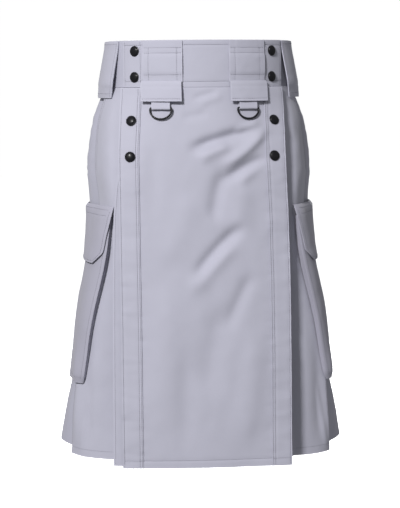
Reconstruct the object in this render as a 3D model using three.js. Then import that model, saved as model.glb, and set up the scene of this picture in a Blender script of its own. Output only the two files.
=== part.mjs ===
// Utility kilt, worn and empty: an apron snapped on in front, bellows pockets at the sides, knife pleats
// behind.
// Millimetres. +Z is up, the front faces -Y, and Z = 0 is the middle of the waistband's height.
import * as THREE from 'three';

// Driving sizes
const BAND_HEIGHT = 68;
const BAND_WALL = 2.4;
const CLOTH = 1.6;
const UNDER_WALL = 1.4;
const STRAP = 1;
const SEAM = 0.3;
const APRON_HEM = 615;
const SIDE_HEM = 610;
const BACK_HEM = 603.5;
const APRON_BAND_LEFT = 113;
const APRON_BAND_RIGHT = 116;
const PLACKET_WIDTH = 29.5;
const RING_DOWN = 97.5;
const RING_LIFT = 5.4;
const RING_WIDTH = 35;
const RING_DROP = 16.3;
const RING_WIRE = 2.7;
const LOOP_WIDTH = 57;
const SNAP_RADIUS = 7.6;
const PLEATS = 5;
const PLEAT_LAP = 14;
const FOLD_RADIUS = 1.8;

// Outside of the waistband: half-width and half-depth of its oval, by the distance down from the top edge
const WAIST = [
  { down: 0, half: 138, deep: 105 },
  { down: 68, half: 141, deep: 110 },
];

// Apron face: depth at its middle, how far it falls back 120 mm to the side, how square it is across,
// and its edges; under is the layer below it, which reaches further on the left
const FACE = [
  { down: 68, depth: 110, sag: 47.6, bow: 2.3, left: 116.5, right: 116, under: 0.3, underEdge: 109 },
  { down: 95, depth: 114.5, sag: 38, bow: 2.25, left: 118.8, right: 117, under: -1.4, underEdge: 111 },
  { down: 125, depth: 119.5, sag: 27, bow: 2.15, left: 121, right: 117.2, under: -3, underEdge: 115 },
  { down: 170, depth: 126, sag: 18, bow: 2, left: 123.6, right: 117.8, under: -4.4, underEdge: 124 },
  { down: 260, depth: 133, sag: 13, bow: 2, left: 123.6, right: 120.9, under: -5, underEdge: 133.5 },
  { down: 400, depth: 146, sag: 11, bow: 2, left: 123.3, right: 122.6, under: -5, underEdge: 136.5 },
  { down: 620, depth: 163, sag: 8.5, bow: 2, left: 123.3, right: 121.6, under: -5, underEdge: 138 },
];

// Skirt section behind the apron, one half: in and near lie behind the apron's edge, sh is the front
// shoulder, fo the fold of the front pleat, si the side, ba the back quarter, re the middle of the back
const SKIRT = [
  { down: 68, inX: 80, inY: -91.5, neX: 112, neY: -69.1, shX: 126, shY: -49.4, foX: 136.2, foY: -28.7,
    siX: 141, baX: 98, baY: 79.2, reY: 110 },
  { down: 92, inX: 80, inY: -93.2, neX: 112, neY: -75.5, shX: 131, shY: -58, foX: 145.5, foY: -30,
    siX: 152, baX: 103, baY: 84, reY: 113.5 },
  { down: 125, inX: 80, inY: -96, neX: 112, neY: -84, shX: 136, shY: -69, foX: 154, foY: -32,
    siX: 163, baX: 110, baY: 90, reY: 118 },
  { down: 187, inX: 76, inY: -102, neX: 106, neY: -98, shX: 136.5, shY: -89, foX: 158, foY: -45,
    siX: 169.3, baX: 118, baY: 98, reY: 124 },
  { down: 242, inX: 72, inY: -106, neX: 102, neY: -105, shX: 131.5, shY: -100, foX: 153, foY: -58,
    siX: 166.2, baX: 122, baY: 103, reY: 128 },
  { down: 310, inX: 70, inY: -109, neX: 100, neY: -108, shX: 138, shY: -98, foX: 159, foY: -64,
    siX: 169, baX: 128, baY: 108, reY: 132 },
  { down: 400, inX: 70, inY: -114, neX: 102, neY: -113, shX: 156, shY: -98, foX: 173, foY: -74,
    siX: 185.2, baX: 138, baY: 114, reY: 138 },
  { down: 500, inX: 70, inY: -120, neX: 108, neY: -118, shX: 171, shY: -100, foX: 184, foY: -82,
    siX: 196, baX: 148, baY: 120, reY: 144 },
  { down: 545, inX: 70, inY: -123.5, neX: 110, neY: -121, shX: 170.5, shY: -102, foX: 188.5, foY: -82,
    siX: 206, baX: 154, baY: 123, reY: 147 },
  { down: 616, inX: 70, inY: -129, neX: 112, neY: -126, shX: 170, shY: -106, foX: 193.5, foY: -78,
    siX: 218.5, baX: 161, baY: 128, reY: 152 },
];

// Plan of the pleats behind the front fold: recess of the side panel, where it meets the first back pleat,
// half-width of the box pleat in the middle, and how far the pleats hang open
const PLAN = [
  { down: 68, recess: 5.4, join: 48, box: 24, open: 0 },
  { down: 187, recess: 5.6, join: 54, box: 27, open: 0.1 },
  { down: 400, recess: 8, join: 64, box: 33, open: 0.5 },
  { down: 500, recess: 11, join: 69, box: 36, open: 0.8 },
  { down: 616, recess: 19, join: 75, box: 40, open: 1 },
];

// Cargo pocket: x of its front edge and how far its face stands off the panel there
const POCKET = [
  { down: 256, edge: 136.5, stand: 6.5 },
  { down: 282, edge: 140, stand: 10 },
  { down: 310, edge: 144, stand: 12 },
  { down: 400, edge: 164.5, stand: 10.5 },
  { down: 488, edge: 181, stand: 7.5 },
  { down: 501, edge: 182.5, stand: 3.6 },
];
const POCKET_BACK = 52;
const POCKET_SIDE = 2.4;
const FLAP_SIDE = 5.6;

// Pocket flap: x of its front edge, height of its outer face over the pocket's panel
const FLAP = [
  { down: 240, edge: 132, lift: 3 },
  { down: 248, edge: 134, lift: 6.8 },
  { down: 256, edge: 136.3, lift: 9.8 },
  { down: 266, edge: 139, lift: 11.6 },
  { down: 285, edge: 144, lift: 13.6 },
  { down: 306, edge: 149, lift: 15 },
  { down: 314, edge: 156.5, lift: 15.8 },
  { down: 323, edge: 166, lift: 15.8 },
];

// Side and back belt loops: inner face over the cloth behind
const LOOP = [
  { down: 0.6, lift: 0.5 },
  { down: 10, lift: 0.8 },
  { down: 26, lift: 3.0 },
  { down: 50, lift: 6.4 },
  { down: 64, lift: 8.0 },
  { down: 75, lift: 4.4 },
  { down: 83.8, lift: 0.8 },
];

// What differs between the two sides: edges of the front loop and of the cover below it, the ring's middle,
// front end of the side loop, and how far the front pleat's fold has moved round at the hem
const SIDES = {
  left: {
    tabInner: 29.5, tabOuter: 84.8, coverInner: 31, coverOuter: 86.5, ringX: 60.5, loopFront: -57, shift: 12,
  },
  right: {
    tabInner: 36.5, tabOuter: 88.5, coverInner: 37, coverOuter: 89.5, ringX: 62.5, loopFront: -60, shift: -10,
  },
};

// Front belt loop over the apron's band, and the hanging cover of the ring tab below it
const TAB = [
  { down: 0.4, lift: 2.8 },
  { down: 16, lift: 2.9 },
  { down: 26, lift: 4.2 },
  { down: 44, lift: 4.4 },
  { down: 54, lift: 3.0 },
  { down: 60.5, lift: 2.8 },
];
const COVER = [
  { down: 59, lift: 5.2 },
  { down: 62, lift: 6.4 },
  { down: 66, lift: 7.3 },
  { down: 77, lift: 8.0 },
  { down: 88.2, lift: 8.7 },
];

// Snap rows on each placket, and the outline of a snap's cap
const SNAPS = [
  { down: 15.6, left: 96.4, right: 100.5, base: 2.9 },
  { down: 53.2, left: 97, right: 100.3, base: 2.9 },
  { down: 115.8, left: 103, right: 101, base: 4.5 },
  { down: 167.3, left: 106.4, right: 100.6, base: 4.4 },
];
const SNAP_CAP = [
  { radius: 1, height: 0 },
  { radius: 1, height: 0.9 },
  { radius: 0.9, height: 1.9 },
  { radius: 0.62, height: 2.9 },
  { radius: 0.3, height: 3.4 },
];

const COLOURS = {
  cloth: [0xb9b9c8, 0.9, 0],
  metal: [0x1c1c1f, 0.35, 0.8],
  snap: [0x141416, 0.25, 0.2],
};

// Value of a table's column at a distance down, on a curve through its rows that never overshoots them
function at(table, column, down) {
  const last = table.length - 1;
  const d = Math.min(Math.max(down, table[0].down), table[last].down);
  let i = 0;
  while (i < last - 1 && table[i + 1].down < d) i += 1;
  const slope = (k) => (table[k + 1][column] - table[k][column]) / (table[k + 1].down - table[k].down);
  const tangent = (k) => {
    if (k === 0) return slope(0);
    if (k === last) return slope(last - 1);
    const a = slope(k - 1);
    const b = slope(k);
    return a * b <= 0 ? 0 : (2 * a * b) / (a + b);
  };
  const h = table[i + 1].down - table[i].down;
  const t = (d - table[i].down) / h;
  const p = table[i][column];
  const q = table[i + 1][column];
  const u = 1 - t;
  const bend = tangent(i) * u - tangent(i + 1) * t;
  return p * u * u * (1 + 2 * t) + q * t * t * (3 - 2 * t) + bend * h * t * u;
}

const smooth = (t) => {
  const c = Math.min(Math.max(t, 0), 1);
  return c * c * (3 - 2 * c);
};

const steps = (from, to, count) => {
  return Array.from({ length: count + 1 }, (_, i) => from + ((to - from) * i) / count);
};

const height = (down) => BAND_HEIGHT / 2 - down;

const handed = (side) => (side < 0 ? 'left' : 'right');

// Depth of the front's base surface at x: the waistband's oval above, the apron's own curve below
function frontDepth(x, down) {
  if (down <= BAND_HEIGHT) {
    const half = at(WAIST, 'half', down);
    return at(WAIST, 'deep', down) * Math.sqrt(1 - (x / half) ** 2);
  }
  return at(FACE, 'depth', down) - at(FACE, 'sag', down) * Math.abs(x / 120) ** at(FACE, 'bow', down);
}

// Point on the front, moved out square to the section by lift
function front(x, down, lift) {
  const slope = frontDepth(x + 0.5, down) - frontDepth(x - 0.5, down);
  const length = Math.hypot(slope, 1);
  return new THREE.Vector3(x - (slope / length) * lift, -frontDepth(x, down) - lift / length, height(down));
}

// Half section of the skirt at a distance down: points with their length from the side, negative to the front
const sections = new Map();
function section(down) {
  const key = down.toFixed(3);
  if (sections.has(key)) return sections.get(key);
  let points = [];
  if (down <= BAND_HEIGHT) {
    const half = at(WAIST, 'half', down);
    const deep = at(WAIST, 'deep', down);
    points = steps(0.1, 1, 160).map((t) => new THREE.Vector2(half * Math.sin(t * Math.PI),
      -deep * Math.cos(t * Math.PI)));
  } else {
    const row = (column) => at(SKIRT, column, down);
    const knots = [
      [row('inX'), row('inY')],
      [row('neX'), row('neY')],
      [row('shX'), row('shY')],
      [row('foX'), row('foY')],
      [row('siX'), 0],
      [row('baX'), row('baY')],
      [0, row('reY')],
      [-row('baX'), row('baY')],
    ].map(([x, y]) => new THREE.Vector3(x, y, 0));
    const curve = new THREE.CatmullRomCurve3(knots, false, 'centripetal');
    points = steps(0, 6 / 7, 150).map((t) => curve.getPoint(t)).map((p) => new THREE.Vector2(p.x, p.y));
  }
  const lengths = [0];
  for (let i = 1; i < points.length; i += 1) {
    lengths.push(lengths[i - 1] + points[i].distanceTo(points[i - 1]));
  }
  const k = points.findIndex((p) => p.y >= 0);
  const part = -points[k - 1].y / (points[k].y - points[k - 1].y);
  const zero = lengths[k - 1] + (lengths[k] - lengths[k - 1]) * part;
  const made = { points, lengths: lengths.map((l) => l - zero) };
  made.end = made.lengths[lengths.length - 1];
  sections.set(key, made);
  return made;
}

// Length from the side at which the front half of a section reaches x
function lengthAtX(down, x, lift = 0) {
  const { lengths } = section(down);
  let low = lengths[0];
  let high = 0;
  for (let i = 0; i < 40; i += 1) {
    const mid = (low + high) / 2;
    if (skirt(1, mid, down, lift).x < x) low = mid;
    else high = mid;
  }
  return (low + high) / 2;
}

// Length from the side of the front pleat's fold
function foldLength(side, down) {
  const target = at(SKIRT, 'foY', down);
  const { points, lengths } = section(down);
  const k = points.findIndex((p) => p.y >= target);
  const part = (target - points[k - 1].y) / (points[k].y - points[k - 1].y);
  const shift = SIDES[handed(side)].shift * smooth((down - 400) / 150);
  return lengths[k - 1] + (lengths[k] - lengths[k - 1]) * part + shift;
}

// Point on the skirt, side -1 left or +1 right as seen from the front, moved out square to it by lift
function skirt(side, length, down, lift) {
  const { points, lengths, end } = section(down);
  if (length > end) {
    const over = skirt(side, 2 * end - length, down, lift);
    return new THREE.Vector3(-over.x, over.y, over.z);
  }
  let i = 1;
  while (i < lengths.length - 1 && lengths[i] < length) i += 1;
  const t = (length - lengths[i - 1]) / (lengths[i] - lengths[i - 1]);
  const p = points[i - 1].clone().lerp(points[i], t);
  const before = points[Math.max(i - 2, 0)];
  const after = points[Math.min(i + 1, points.length - 1)];
  const along = after.clone().sub(before).normalize();
  return new THREE.Vector3(side * (p.x + along.y * lift), p.y - along.x * lift, height(down));
}

// Closed body between two grids of points that share their outline's order
function wall(name, outer, inner, look = 'cloth', closed = false) {
  const rows = outer.length;
  const cols = outer[0].length;
  const position = [];
  [outer, inner].forEach((grid) => grid.forEach((row) => row.forEach((p) => position.push(p.x, p.y, p.z))));
  const index = [];
  const quad = (a, b, c, d) => index.push(a, b, c, a, c, d);
  const o = (r, c) => r * cols + (c % cols);
  const n = (r, c) => rows * cols + r * cols + (c % cols);
  const spans = closed ? cols : cols - 1;
  for (let r = 0; r < rows - 1; r += 1) {
    for (let c = 0; c < spans; c += 1) {
      quad(o(r, c), o(r + 1, c), o(r + 1, c + 1), o(r, c + 1));
      quad(n(r, c), n(r, c + 1), n(r + 1, c + 1), n(r + 1, c));
    }
  }
  for (let c = 0; c < spans; c += 1) {
    quad(o(0, c), o(0, c + 1), n(0, c + 1), n(0, c));
    quad(o(rows - 1, c + 1), o(rows - 1, c), n(rows - 1, c), n(rows - 1, c + 1));
  }
  if (!closed) {
    for (let r = 0; r < rows - 1; r += 1) {
      quad(o(r + 1, 0), o(r, 0), n(r, 0), n(r + 1, 0));
      quad(o(r, cols - 1), o(r + 1, cols - 1), n(r + 1, cols - 1), n(r, cols - 1));
    }
  }
  return body(name, position, index, look);
}

// Mesh from positions and triangles, turned so that its faces point out
function body(name, position, index, look) {
  const v = (i) => new THREE.Vector3(position[3 * i], position[3 * i + 1], position[3 * i + 2]);
  let volume = 0;
  for (let i = 0; i < index.length; i += 3) {
    volume += v(index[i]).dot(v(index[i + 1]).cross(v(index[i + 2])));
  }
  const turned = volume < 0 ? index.slice().reverse() : index;
  const geometry = new THREE.BufferGeometry();
  geometry.setAttribute('position', new THREE.Float32BufferAttribute(position, 3));
  geometry.setIndex(turned);
  return mesh(name, geometry, look);
}

function mesh(name, geometry, look) {
  const [color, roughness, metalness] = COLOURS[look];
  geometry.computeVertexNormals();
  const made = new THREE.Mesh(geometry, new THREE.MeshStandardMaterial({ color, roughness, metalness }));
  made.name = name;
  return made;
}

// Two lines beside a folded line in a section, half the cloth's thickness to each side
function ribbon(line, thickness) {
  const side = (sign) => line.map((p, i) => {
    const a = line[Math.max(i - 1, 0)];
    const b = line[Math.min(i + 1, line.length - 1)];
    const before = new THREE.Vector2(p[0] - a[0], p[1] - a[1]);
    const after = new THREE.Vector2(b[0] - p[0], b[1] - p[1]);
    if (i === 0) before.copy(after);
    if (i === line.length - 1) after.copy(before);
    before.normalize();
    after.normalize();
    const normal = new THREE.Vector2(-before.y - after.y, before.x + after.x).normalize();
    const reach = 1 / Math.max(normal.dot(new THREE.Vector2(-before.y, before.x)), 0.6);
    const move = (sign * thickness * reach) / 2;
    return [p[0] + normal.x * move, p[1] + normal.y * move];
  });
  return [side(1), side(-1)];
}

// Wall whose section at each distance down is a folded line of [length from the side, lift]; drop lowers a
// row by an amount that varies along it
function folded(name, side, downs, line, thickness, drop = () => 0) {
  const grids = [[], []];
  downs.forEach((down) => {
    const pair = ribbon(line(down), thickness);
    pair.forEach((edge, k) => grids[k].push(edge.map(([s, lift], i) => {
      const lower = down + drop(down, i / (edge.length - 1));
      return skirt(side, s, lower, lift);
    })));
  });
  return wall(name, grids[0], grids[1]);
}

// Wall on the front surface between two lifts
function frontWall(name, downs, columns, outer, thickness, look) {
  const grid = (lift) => downs.map((down) => columns(down).map((x) => front(x, down, lift(down, x))));
  return wall(name, grid(outer), grid((down, x) => outer(down, x) - thickness), look);
}

function waistband() {
  const grid = (lift) => [0, BAND_HEIGHT].map((down) => steps(0, 1, 60).slice(0, 60).map((t) => {
    const angle = 2 * Math.PI * t;
    const half = at(WAIST, 'half', down);
    const deep = at(WAIST, 'deep', down);
    const out = new THREE.Vector2(Math.sin(angle) / half, -Math.cos(angle) / deep).normalize();
    return new THREE.Vector3(half * Math.sin(angle) + out.x * lift, -deep * Math.cos(angle) + out.y * lift,
      height(down));
  }));
  return wall('waistband', grid(0), grid(-BAND_WALL), 'cloth', true);
}

// The front band covers the waistband and stops at the plackets' outer edges
function apronBand() {
  const columns = () => steps(-APRON_BAND_LEFT, APRON_BAND_RIGHT, 28);
  return frontWall('apron_band', [0, BAND_HEIGHT - 0.1], columns, () => 2.5, 1.9);
}

const APRON_ROWS = [68.3, 82, 95, 110, 125, 147, 170, 215, 260, 330, 400, 510, APRON_HEM];

function apron() {
  const columns = (down) => steps(-at(FACE, 'left', down), at(FACE, 'right', down), 18);
  return frontWall('apron', APRON_ROWS, columns, () => 2.2, CLOTH);
}

// Stitched-down strip along each edge of the apron, double cloth that carries the lower snaps
function placket(side) {
  const columns = (down) => {
    const edge = at(FACE, handed(side), down);
    return steps(edge - PLACKET_WIDTH, edge, 3).map((x) => side * x);
  };
  return frontWall(`placket_${handed(side)}`, APRON_ROWS, columns, () => 3.9, 1.4);
}

// Plain layer under the apron; its edge shows past the apron's left edge
function underApron() {
  const columns = (down) => {
    const edge = at(FACE, 'underEdge', down);
    const right = Math.min(edge, 112);
    return steps(-edge, right, 12);
  };
  const lift = (down) => at(FACE, 'under', down);
  const rows = [68.3, 82, 95, 110, 125, 147, 170, 215, 260, 400, APRON_HEM - 1.5];
  return frontWall('under_apron', rows, columns, lift, UNDER_WALL);
}

// Front belt loop, sewn along its top and bottom, standing a little off the band between
function tab(side) {
  const downs = TAB.map((row) => row.down);
  const { tabInner, tabOuter } = SIDES[handed(side)];
  const columns = () => steps(tabInner, tabOuter, 6).map((x) => side * x);
  const lift = (down) => at(TAB, 'lift', down) + CLOTH;
  return frontWall(`front_loop_${handed(side)}`, downs, columns, lift, CLOTH);
}

function ringCover(side) {
  const { coverInner, coverOuter } = SIDES[handed(side)];
  const downs = COVER.map((row) => row.down);
  const columns = () => steps(coverInner, coverOuter, 6).map((x) => side * x);
  const lift = (down) => at(COVER, 'lift', down) + 1.8;
  return frontWall(`ring_cover_${handed(side)}`, downs, columns, lift, 1.8);
}

// Tab that folds round the straight side of the ring, both its ends up under the cover
function ringTab(side) {
  const turn = steps(75, -75, 4).map((a) => {
    const angle = THREE.MathUtils.degToRad(a);
    return [RING_DOWN + 2.2 * Math.cos(angle), RING_LIFT + 2.2 * Math.sin(angle)];
  });
  const line = [[76, 5.5], [88, 6.4], ...turn, [88, 3.25], [76, 3.2]];
  const { along } = ringFrame(side);
  const grids = ribbon(line, STRAP).map((edge) => edge.map(([down, lift]) => steps(-13.8, 13.8, 2)
    .map((x) => front(side * SIDES[handed(side)].ringX, down, lift).addScaledVector(along, x))));
  return wall(`ring_tab_${handed(side)}`, grids[0], grids[1]);
}

// Frame of a ring: its bar's middle, the way along the bar, and the way down the cloth
function ringFrame(side) {
  const x = side * SIDES[handed(side)].ringX;
  const origin = front(x, RING_DOWN, RING_LIFT);
  const along = front(x + 8, RING_DOWN, RING_LIFT).sub(front(x - 8, RING_DOWN, RING_LIFT)).normalize();
  const down = front(x, RING_DOWN + 14, RING_LIFT).sub(origin);
  down.addScaledVector(along, -down.dot(along)).normalize();
  return { origin, along, down };
}

// D-ring: a straight bar closed by a round bow, of one round wire
function dRing(side) {
  const { origin, along, down } = ringFrame(side);
  const half = (RING_WIDTH - RING_WIRE) / 2;
  const line = [[-half + 2.6, 0], [half - 2.6, 0], [half - 0.8, 0.6], [half, 2.3]];
  steps(12, 168, 13).forEach((a) => {
    const angle = THREE.MathUtils.degToRad(a);
    line.push([half * Math.cos(angle), 2.8 + (RING_DROP - 2.8) * Math.sin(angle)]);
  });
  line.push([-half, 2.3], [-half + 0.8, 0.6]);
  const out = along.clone().cross(down).normalize();
  const sides = 8;
  const count = line.length;
  const position = [];
  line.forEach((p, i) => {
    const a = line[(i + count - 1) % count];
    const b = line[(i + 1) % count];
    const way = new THREE.Vector2(b[0] - a[0], b[1] - a[1]).normalize();
    for (let k = 0; k < sides; k += 1) {
      const angle = (2 * Math.PI * (k + 0.5)) / sides;
      const across = (Math.cos(angle) * RING_WIRE) / 2;
      const point = origin.clone()
        .addScaledVector(along, p[0] - way.y * across)
        .addScaledVector(down, p[1] + way.x * across)
        .addScaledVector(out, (Math.sin(angle) * RING_WIRE) / 2);
      position.push(point.x, point.y, point.z);
    }
  });
  const index = [];
  for (let i = 0; i < count; i += 1) {
    for (let k = 0; k < sides; k += 1) {
      const a = i * sides + k;
      const b = i * sides + ((k + 1) % sides);
      const c = ((i + 1) % count) * sides + ((k + 1) % sides);
      const d = ((i + 1) % count) * sides + k;
      index.push(a, b, c, a, c, d);
    }
  }
  return body(`d_ring_${handed(side)}`, position, index, 'metal');
}

// Snap cap, a low dome square to the cloth
function snap(side, row, number) {
  const profile = [new THREE.Vector2(0, 0)];
  SNAP_CAP.forEach((p) => profile.push(new THREE.Vector2(p.radius * SNAP_RADIUS, p.height)));
  profile.push(new THREE.Vector2(0, SNAP_CAP[SNAP_CAP.length - 1].height + 0.1));
  const geometry = new THREE.LatheGeometry(profile, 14);
  const x = side * row[handed(side)];
  const centre = front(x, row.down, row.base);
  const along = front(x + 4, row.down, row.base).sub(front(x - 4, row.down, row.base)).normalize();
  const up = front(x, row.down - 4, row.base).sub(front(x, row.down + 4, row.base));
  up.addScaledVector(along, -up.dot(along)).normalize();
  const out = along.clone().cross(up).normalize();
  geometry.applyMatrix4(new THREE.Matrix4().makeBasis(along, out, up.negate()).setPosition(centre));
  return mesh(`snap_${handed(side)}_${number}`, geometry, 'snap');
}

// Belt loop round the side or the back, sewn at the top and below the waistband
function beltLoop(name, side, from, to) {
  const downs = LOOP.map((row) => row.down);
  const grid = (extra) => downs.map((down) => steps(from(down), to(down), 6)
    .map((s) => skirt(side, s, down, at(LOOP, 'lift', down) + extra)));
  return wall(name, grid(CLOTH + 0.2), grid(0));
}

const SKIRT_ROWS = [68.3, 92, 125, 187, 242, 310, 400, 500, 545];
const BACK_ROWS = [68.3, 92, 125, 187, 242, 310, 400, 500, 545, BACK_HEM];

// How far the front pleat's hidden edge comes forward to lie behind the under-apron
function pleatRise(side, down, from) {
  const start = skirt(side, from, down, 0);
  const behind = frontDepth(start.x, down) + at(FACE, 'under', down) - UNDER_WALL;
  return Math.max(behind + start.y - 2, 0);
}

// Front pleat: from behind the apron out to its fold, then back under itself
function frontPleat(side) {
  const line = (down) => {
    const from = lengthAtX(down, Math.max(112 - Math.max(down - 95, 0) * 0.09, 98));
    const fold = foldLength(side, down) - FOLD_RADIUS;
    const c = -CLOTH / 2;
    const rise = pleatRise(side, down, from);
    const points = steps(0, 1, 9).map((t) => [from + (fold - from) * t, c + rise * (1 - smooth(t / 0.35))]);
    points.push([fold + FOLD_RADIUS, c - FOLD_RADIUS], [fold, c - 2 * FOLD_RADIUS]);
    points.push([fold - PLEAT_LAP, c - 2 * FOLD_RADIUS]);
    return points;
  };
  return folded(`front_pleat_${handed(side)}`, side, [...SKIRT_ROWS, SIDE_HEM], line, CLOTH);
}

// Side panel: starts under the front pleat's fold and runs back to the first knife pleat
function sidePanel(side) {
  const line = (down) => {
    const from = foldLength(side, down) - 11;
    const to = at(PLAN, 'join', down);
    const recess = at(PLAN, 'recess', down) + SEAM;
    return steps(0, 1, 9).map((t) => {
      const s = from + (to - from) * t;
      const low = 1 - smooth((t - 0.14) / 0.5);
      return [s, -CLOTH / 2 - recess * low];
    });
  };
  const drop = (down, t) => (down === BACK_HEM ? (SIDE_HEM - 1 - BACK_HEM) * (1 - smooth(t / 0.6)) : 0);
  return folded(`side_panel_${handed(side)}`, side, BACK_ROWS, line, CLOTH, drop);
}

// Knife pleats from the side panel to the box pleat, each folded back and under the one before
function knifePleats(side) {
  const line = (down) => {
    const from = at(PLAN, 'join', down) + SEAM;
    const to = section(down).end - at(PLAN, 'box', down);
    const open = at(PLAN, 'open', down);
    const c = -CLOTH / 2;
    const lap = PLEAT_LAP - 4 + 4 * open;
    const low = c - 2 * FOLD_RADIUS - 4 * open;
    const points = [[from, c]];
    for (let i = 1; i <= PLEATS; i += 1) {
      const edge = from + ((to - from) * i) / PLEATS - FOLD_RADIUS;
      const start = from + ((to - from) * (i - 1)) / PLEATS;
      const begin = i === 1 ? c : low - 2 * FOLD_RADIUS;
      points.push([start + 4, begin + 0.2], [(start + edge) / 2 + 3, (begin + c) / 2]);
      if (i === PLEATS) {
        points.push([edge, c - 5.4 - open]);
        points.push([edge + 9, c - 5.8 - open]);
        break;
      }
      points.push([edge, c], [edge + FOLD_RADIUS, c - FOLD_RADIUS], [edge, c - 2 * FOLD_RADIUS]);
      points.push([edge - lap, low], [edge - lap - FOLD_RADIUS, low - FOLD_RADIUS]);
      points.push([edge - lap, low - 2 * FOLD_RADIUS]);
    }
    return points;
  };
  return folded(`knife_pleats_${handed(side)}`, side, BACK_ROWS, line, 1.4);
}

// Box pleat in the middle of the back, both edges folded under
function boxPleat() {
  const line = (down) => {
    const end = section(down).end;
    const half = at(PLAN, 'box', down) - FOLD_RADIUS;
    const c = -CLOTH / 2;
    const right = steps(0, half, 3).map((s) => [end + s, c]);
    right.push([end + half + FOLD_RADIUS, c - FOLD_RADIUS], [end + half, c - 2 * FOLD_RADIUS]);
    right.push([end + half - PLEAT_LAP, c - 2 * FOLD_RADIUS]);
    const left = right.slice(1).reverse().map(([s, lift]) => [2 * end - s, lift]);
    return [...left, ...right];
  };
  return folded('box_pleat', 1, BACK_ROWS, line, 1.4);
}

// Length from the side at which the pocket's front edge stands
const pocketEdge = (down) => lengthAtX(down, at(POCKET, 'edge', down), at(POCKET, 'stand', down));

// Height of the pocket's face over its panel, most at the front edge
function pocketStand(down, length) {
  const t = smooth((length - pocketEdge(down)) / 95);
  const stand = at(POCKET, 'stand', down);
  return stand + (Math.min(stand, POCKET_SIDE) - stand) * t;
}

// Bellows pocket: a face that stands off the panel, with gussets turned in along its front, back and foot
function pocket(side) {
  const line = (down) => {
    const edge = pocketEdge(down);
    const points = [[edge + 1.5, 2.2], [edge + 0.7, at(POCKET, 'stand', down) - 1.2]];
    points.push(...steps(0, 1, 9).map((t) => {
      const s = edge + 1.2 + (POCKET_BACK - edge - 1.2) * t;
      return [s, pocketStand(down, s) - 0.7];
    }));
    points.push([POCKET_BACK + 0.6, 1.4]);
    return points;
  };
  return folded(`pocket_${handed(side)}`, side, [256, 282, 310, 355, 400, 450, 488, 501], line, 1.4);
}

// Pocket flap, sewn along its top, its front corner cut off
function pocketFlap(side) {
  const downs = FLAP.map((row) => row.down);
  const grid = (extra) => downs.map((down) => {
    const lift = at(FLAP, 'lift', down);
    const edge = lengthAtX(down, at(FLAP, 'edge', down), lift);
    return steps(0, 1, 8).map((t) => {
      const s = edge + (POCKET_BACK + 3 - edge) * t;
      const fall = Math.max(lift - FLAP_SIDE, 0) * smooth((s - pocketEdge(down)) / 95);
      return skirt(side, s, down, lift - fall + extra);
    });
  });
  return wall(`pocket_flap_${handed(side)}`, grid(0), grid(-CLOTH));
}

function kilt() {
  const group = new THREE.Group();
  group.name = 'utility_kilt';
  group.add(waistband(), apronBand(), apron(), underApron());
  [-1, 1].forEach((side) => {
    group.add(placket(side), tab(side), ringCover(side), ringTab(side), dRing(side));
    group.add(frontPleat(side), sidePanel(side), knifePleats(side), pocket(side), pocketFlap(side));
    const ahead = SIDES[handed(side)].loopFront;
    group.add(beltLoop(`side_loop_${handed(side)}`, side, () => ahead, () => ahead + LOOP_WIDTH));
    SNAPS.forEach((row, i) => group.add(snap(side, row, i + 1)));
  });
  const end = (down) => section(down).end;
  group.add(boxPleat());
  const half = LOOP_WIDTH / 2;
  group.add(beltLoop('back_loop', 1, (down) => end(down) - half, (down) => end(down) + half));
  return group;
}

export default kilt();
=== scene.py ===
"""Looks of a utility kilt, worn and empty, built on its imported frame."""

import math
from typing import NamedTuple

import bmesh
import bpy
import numpy as np
from bpy.props import FloatProperty, FloatVectorProperty, PointerProperty
from mathutils import Matrix, Vector, noise


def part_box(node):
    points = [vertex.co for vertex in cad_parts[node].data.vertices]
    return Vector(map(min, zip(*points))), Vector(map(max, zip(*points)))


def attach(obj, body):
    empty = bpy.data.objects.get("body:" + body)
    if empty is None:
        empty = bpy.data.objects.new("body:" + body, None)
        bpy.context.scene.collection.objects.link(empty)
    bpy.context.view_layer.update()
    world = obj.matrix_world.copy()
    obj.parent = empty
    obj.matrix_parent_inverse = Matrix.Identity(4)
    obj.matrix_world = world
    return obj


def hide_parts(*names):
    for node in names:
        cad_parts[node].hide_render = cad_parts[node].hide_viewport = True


bl_info = {
    "name": "Utility Kilt",
    "version": (1, 0, 0),
    "blender": (4, 5, 0),
    "location": "View3D > Sidebar > Kilt",
    "description": "Builds the cloth, stitching, snaps and rings of a utility kilt over its frame",
    "category": "Object",
}

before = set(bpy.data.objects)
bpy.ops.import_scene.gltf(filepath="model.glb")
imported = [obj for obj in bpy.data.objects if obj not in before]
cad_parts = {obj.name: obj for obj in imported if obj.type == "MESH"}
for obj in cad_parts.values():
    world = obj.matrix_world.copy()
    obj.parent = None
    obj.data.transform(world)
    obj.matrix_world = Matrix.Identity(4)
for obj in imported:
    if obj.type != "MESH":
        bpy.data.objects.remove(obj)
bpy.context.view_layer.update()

# Driving sizes in millimetres, the same as the frame's. Down is the distance below the waistband's top edge
MM = 0.001
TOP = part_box("waistband")[1].z / MM
BAND_HEIGHT = 68.0
BAND_WALL = 2.4
CLOTH = 1.6
UNDER_WALL = 1.4
SEAM = 0.3
APRON_HEM = 615.0
SIDE_HEM = 610.0
BACK_HEM = 603.5
BAND_ENDS = {"left": 113.0, "right": 116.0}
PLACKET_WIDTH = 29.5
RING_DOWN = 97.5
RING_LIFT = 5.4
RING_WIDTH = 35.0
RING_DROP = 16.3
RING_WIRE = 2.7
LOOP_WIDTH = 57.0
SNAP_RADIUS = 7.6
PLEATS = 5
PLEAT_LAP = 14.0
FOLD_RADIUS = 1.8
POCKET_BACK = 52.0
POCKET_SIDE = 2.4
FLAP_SIDE = 5.6
HEM_DEPTH = 11.0
CLOTH_TOP = BAND_HEIGHT + SEAM
POCKET_FADE = 95.0

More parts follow.
